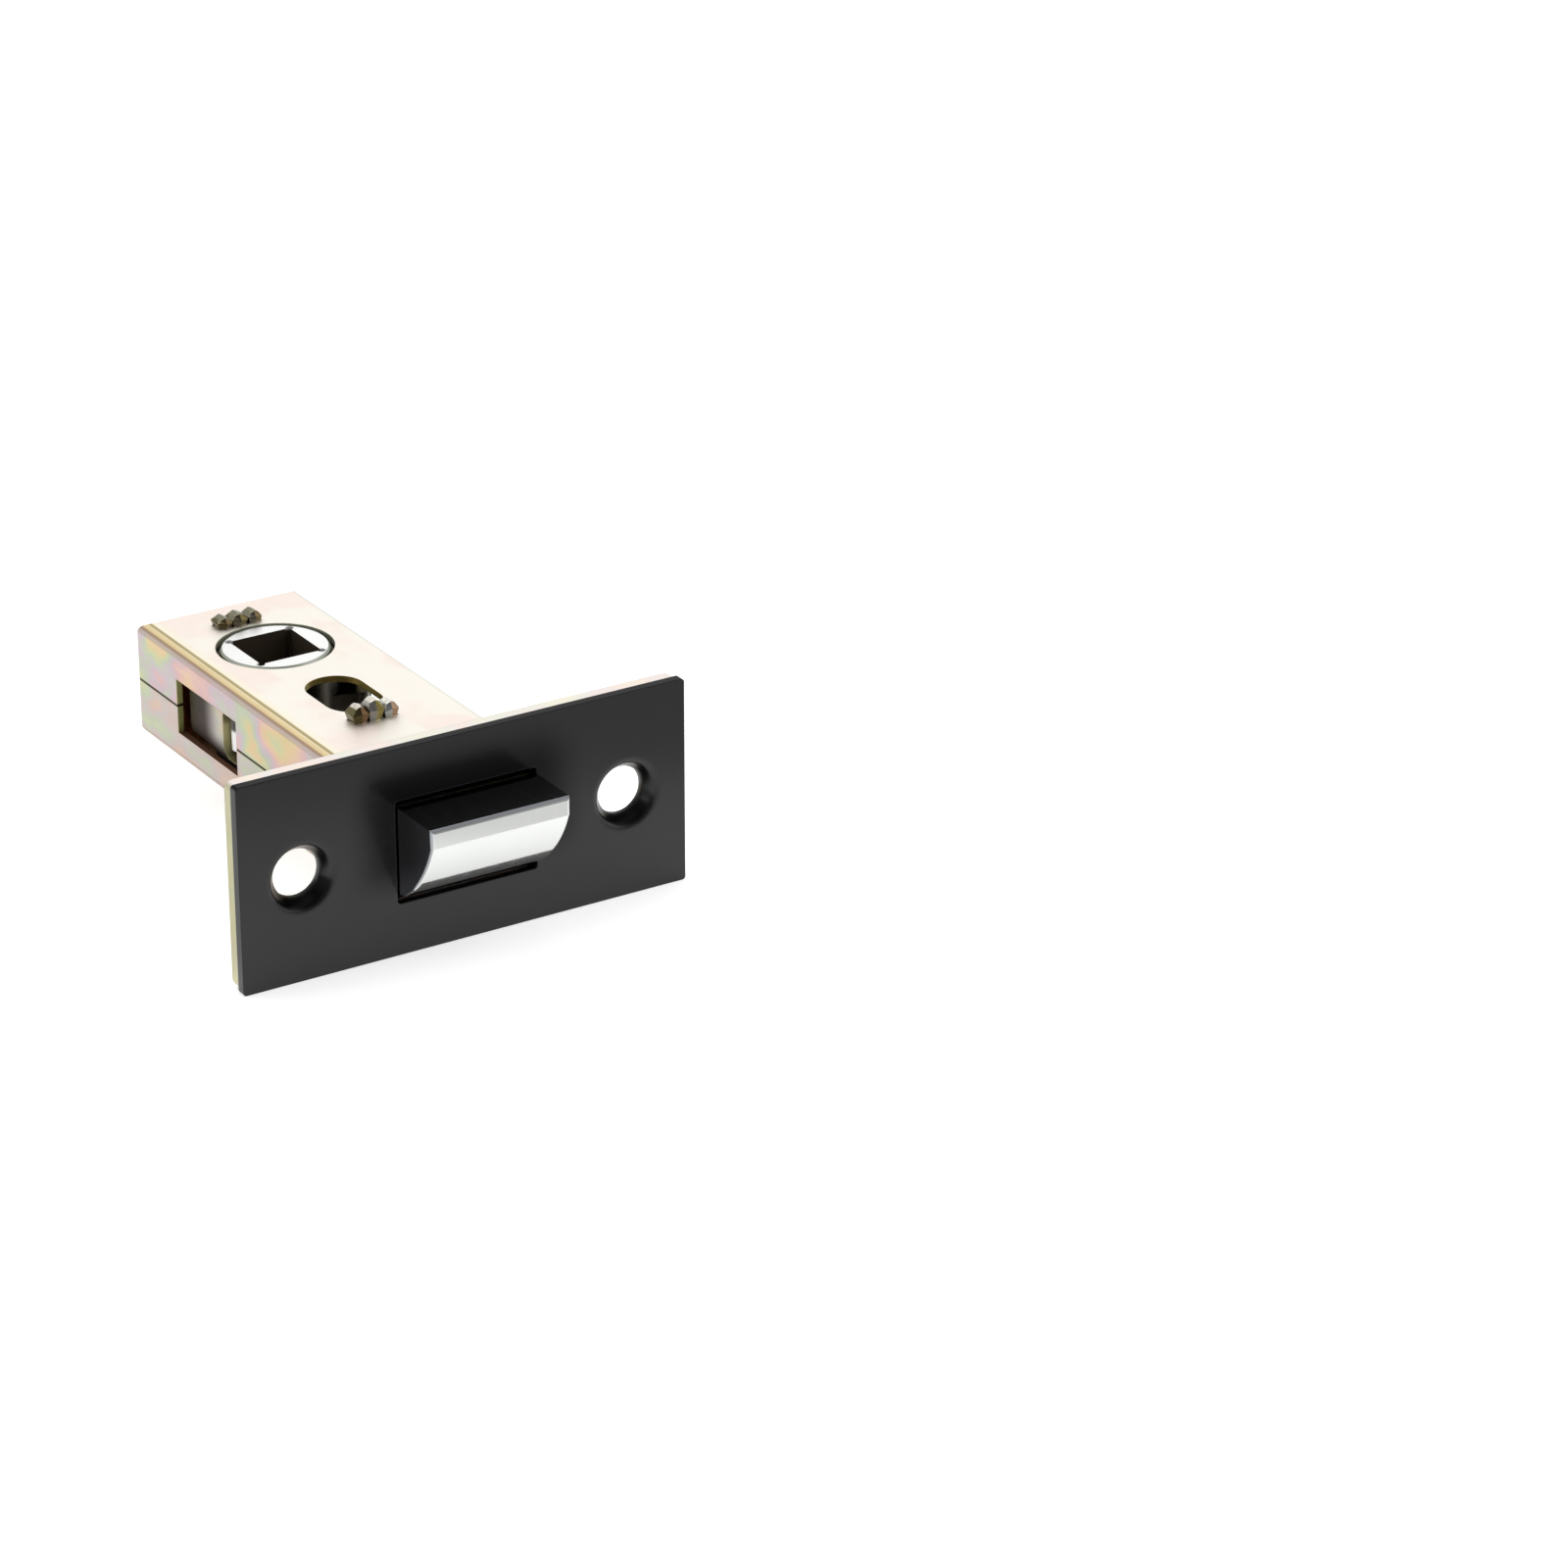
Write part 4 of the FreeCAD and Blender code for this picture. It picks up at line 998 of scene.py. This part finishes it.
def new_piece(name, shape, material, smooth=True):
    """Puts a shape into the scene as a piece of its own."""
    mesh = bpy.data.meshes.new(name)
    shape.to_mesh(mesh)
    shape.free()
    mesh.materials.append(material)
    if smooth:
        mesh.shade_smooth()
    piece = bpy.data.objects.new(name, mesh)
    bpy.context.scene.collection.objects.link(piece)
    return piece


coil = swept_tube(spring_line(), WIRE_RADIUS * MM, WIRE_SIDES)
spring = new_piece("bolt_spring_coil", coil, spring_steel)
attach(spring, "case")
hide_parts("bolt_spring")
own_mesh(spring)
print("spring:", len(spring.data.polygons), "faces")

# %% [markdown]
# The two cross bars are flat steel. Their tabs come through slots in both flat walls and are staked: a
# punch spreads each tab's end into three knobs. Struck metal mirrors something else on every facet, so one
# tone for all would look dead, and each facet's tone is a painted reflection. The front tab gets two rows
# of tones along its length, one for the facets that face left and one for those that face right, and its
# upward facets get a near-white painted highlight. The rear tab is duller, and has only one, with a dimmer
# painted highlight on top. Deep in recesses the bars get a painted shade.

# %% Staked zinc of the cross bars
LEFT_FACET_REFLECTIONS = [(0.0, (0.15, 0.13, 0.06)), (0.27, (0.12, 0.09, 0.04)), (0.32, (0.46, 0.45, 0.43)),
              (0.52, (0.40, 0.39, 0.35)), (0.60, (0.22, 0.20, 0.10)), (0.68, (0.60, 0.63, 0.62))]
RIGHT_FACET_REFLECTIONS = [(0.0, (0.12, 0.07, 0.035)), (0.38, (0.13, 0.075, 0.035)), (0.46, (0.26, 0.22, 0.06)),
               (0.72, (0.22, 0.19, 0.07)), (0.80, (0.30, 0.20, 0.13))]
TONES_X = (-3.5, 2.3)
TOP_FACET_HIGHLIGHT = (0.88, 0.83, 0.74)
STRUCK_SHADE = (0.09, 0.06, 0.03)
SHADE_SHARE = 0.30
REAR_TONE = (0.115, 0.092, 0.040)
REAR_TOP_HIGHLIGHT = (0.24, 0.23, 0.16)
REAR_SHARE = 0.8
REAR_Y = 40.0
TOP_FACET_TURN = 0.80
PLAIN_FILM_SHARE = 0.5
BAR_ROUGHNESS = (0.16, 0.30)

bar_zinc, tree = new_material("bar_zinc")
spot, facing = place_in_mm(tree)
_, y, z = parts_of(tree, spot)
left_to_right, _, _ = parts_of(tree, spot, absolute=False)
sideways, _, upward = parts_of(tree, facing, absolute=False)
tint = place_group(tree, film, Place=spot, Patch_Size=2.2, Drift=2.9, Bands=2.0)
grain = place_group(tree, grain_group, Place=spot, Size=(0.25, 0.25, 0.25), Detail=3.0)
recess = place_group(tree, recess_shade_group)
# Each facet's tone is a painted reflection, chosen by the way the facet faces.
along = ramp(tree, left_to_right, *TONES_X)
dull = mixed(tree, above(tree, sideways, 0.05, 0.05), colour_ramp(tree, along, LEFT_FACET_REFLECTIONS),
             colour_ramp(tree, along, RIGHT_FACET_REFLECTIONS))
rear = above(tree, y, REAR_Y)
dull = mixed(tree, calc(tree, "MULTIPLY", rear, REAR_SHARE), dull, REAR_TONE)
# Facets that face up get a painted highlight, dimmer on the rear tab.
top_highlight = mixed(tree, rear, TOP_FACET_HIGHLIGHT, REAR_TOP_HIGHLIGHT)
dull = mixed(tree, above(tree, upward, TOP_FACET_TURN, 0.08), dull, top_highlight)
dull = mixed(tree, calc(tree, "MULTIPLY", grain["Height"], SHADE_SHARE), dull, STRUCK_SHADE)
plain = mixed(tree, PLAIN_FILM_SHARE, ZINC_PALE, tint["Tint"])
colour = mixed(tree, above(tree, z, CASE_OUTSIDE_Z, 0.2), plain, dull)
# Deep in recesses the bars get a painted shade.
colour = mixed(tree, calc(tree, "MULTIPLY", recess["Depth"], PAINTED_SHADE_SHARE), colour, PAINTED_SHADE)
plated = add_node(tree, "BsdfPrincipled", Base_Color=colour, Metallic=1.0,
                  Roughness=ramp(tree, grain["Height"], *NOISE_SPAN, *BAR_ROUGHNESS),
                  Normal=bumped(tree, grain["Height"], 0.02 * MM, 0.4))
finish_material(tree, plated)
print("material:", bar_zinc.name)

# %% [markdown]
# Each knob is a lump of its own. It starts as a box with one more row of points in its middle. The points
# are pushed about a little by chance, the middle of its front and back is drawn out to a ridge, and its
# foot and its top are made narrower than its waist. A last small bevel on every sharp edge makes facets
# that catch the light.

# %% Cross bars with staked ends
BAR_FRONTS = {"front": 19.6, "rear": 52.8}
BAR_THICKNESS = 1.8
BAR_HALF_WIDTH = 4.5
BAR_ROUND = 0.12
BAR_PLAY = 0.02
TAB_LEFT, TAB_RIGHT = -3.35, 2.35
STAKED_TOPS = {"front": (9.0, 9.4, 8.8), "rear": (8.35, 8.45, 8.45)}
KNOBS = [(-3.50, -1.45), (-1.65, 0.55), (0.45, 2.40)]
KNOB_SCALES = [(0.70, 0.78), (1.0, 1.0), (0.56, 0.60)]
KNOB_SINK = 0.3
KNOB_SPREAD = 0.18
KNOB_JITTER = 0.08
KNOB_RIDGE = 0.32
WAIST_RISE = 0.15
CORNER_DROP = 0.25
SHARP_DEGREES = 8
FACET_WIDTH = 0.11
random.seed(11)


def box_shape(low, high, cuts=0, jitter=0.0):
    """A box as a mesh of its own, cut into a grid whose points may be pushed about."""
    shape = bmesh.new()
    bmesh.ops.create_cube(shape, size=1.0)
    if cuts:
        bmesh.ops.subdivide_edges(shape, edges=list(shape.edges), cuts=cuts, use_grid_fill=True)
    for v in sorted(shape.verts, key=lambda v: (round(v.co.x, 4), round(v.co.y, 4), round(v.co.z, 4))):
        push = Vector([random.uniform(-jitter, jitter) for _ in range(3)])
        v.co = Vector([a + (b - a) * (c + 0.5) for a, b, c in zip(low, high, v.co)]) + push
    return shape


def joined(shapes):
    """One mesh that holds several."""
    whole = bmesh.new()
    for shape in shapes:
        mesh = bpy.data.meshes.new("part")
        shape.to_mesh(mesh)
        shape.free()
        whole.from_mesh(mesh)
        bpy.data.meshes.remove(mesh)
    return whole


def rounded_box(low, high, radius):
    """A box with round edges."""
    shape = box_shape(low, high)
    bmesh.ops.bevel(shape, geom=list(shape.edges), offset=radius, segments=3, affect="EDGES", profile=0.5)
    return shape


def knob(left, right, front, top):
    """One lump of struck metal at the top of a tab, with a ridge down the middle of its front and back."""
    back = front + BAR_THICKNESS
    foot = CASE_OUTSIDE_Z - KNOB_SINK
    low, high = (left, front - KNOB_SPREAD, foot), (right, back + KNOB_SPREAD, top)
    shape = box_shape(low, high, cuts=1, jitter=KNOB_JITTER)
    middle = Vector(((left + right) / 2, (front + back) / 2, 0))
    wide = (right - left) / 2
    for v in shape.verts:
        ridge = 1.0 - abs(v.co.x - middle.x) / wide
        level = min(max(round(2 * (v.co.z - foot) / (top - foot)), 0), 2)
        side = v.co.y - middle.y
        v.co.y += math.copysign(KNOB_RIDGE * max(ridge, 0.0), side) if abs(side) > 0.5 else 0.0
        v.co.z += WAIST_RISE if level == 1 else 0.0
        v.co.z -= CORNER_DROP * (1.0 - ridge) if level == 2 else 0.0
        v.co.x = middle.x + (v.co.x - middle.x) * KNOB_SCALES[level][0]
        v.co.y = middle.y + (v.co.y - middle.y) * KNOB_SCALES[level][1]
    return shape


def staked_bar(front, tops):
    """One bar with its knobbed tabs, in metres. The lower tab is the upper one turned over about Y."""
    back = front + BAR_THICKNESS
    inside = CASE_INSIDE_Z - BAR_PLAY
    shapes = [rounded_box((-BAR_HALF_WIDTH, front, -inside), (BAR_HALF_WIDTH, back, inside), BAR_ROUND)]
    for turn in (0.0, math.pi):
        tab = [rounded_box((TAB_LEFT, front, 0.0), (TAB_RIGHT, back, CASE_OUTSIDE_Z), BAR_ROUND)]
        tab += [knob(left, right, front, top) for (left, right), top in zip(KNOBS, tops)]
        turned_over = Matrix.Rotation(turn, 3, "Y")
        for part in tab:
            bmesh.ops.rotate(part, verts=part.verts, cent=(0.0, 0.0, 0.0), matrix=turned_over)
        shapes += tab
    shape = joined(shapes)
    sharp = [edge for edge in shape.edges if edge.calc_face_angle(0.0) > math.radians(SHARP_DEGREES)]
    bmesh.ops.bevel(shape, geom=sharp, offset=FACET_WIDTH, segments=2, affect="EDGES", profile=0.5)
    bmesh.ops.scale(shape, vec=(MM, MM, MM), verts=shape.verts)
    return shape


for end, front in BAR_FRONTS.items():
    bar = new_piece(f"{end}_bar_staked", staked_bar(front, STAKED_TOPS[end]), bar_zinc, smooth=False)
    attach(bar, "case")
    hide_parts(f"{end}_cross_bar")
    print("bar:", bar.name, len(bar.data.polygons), "faces")
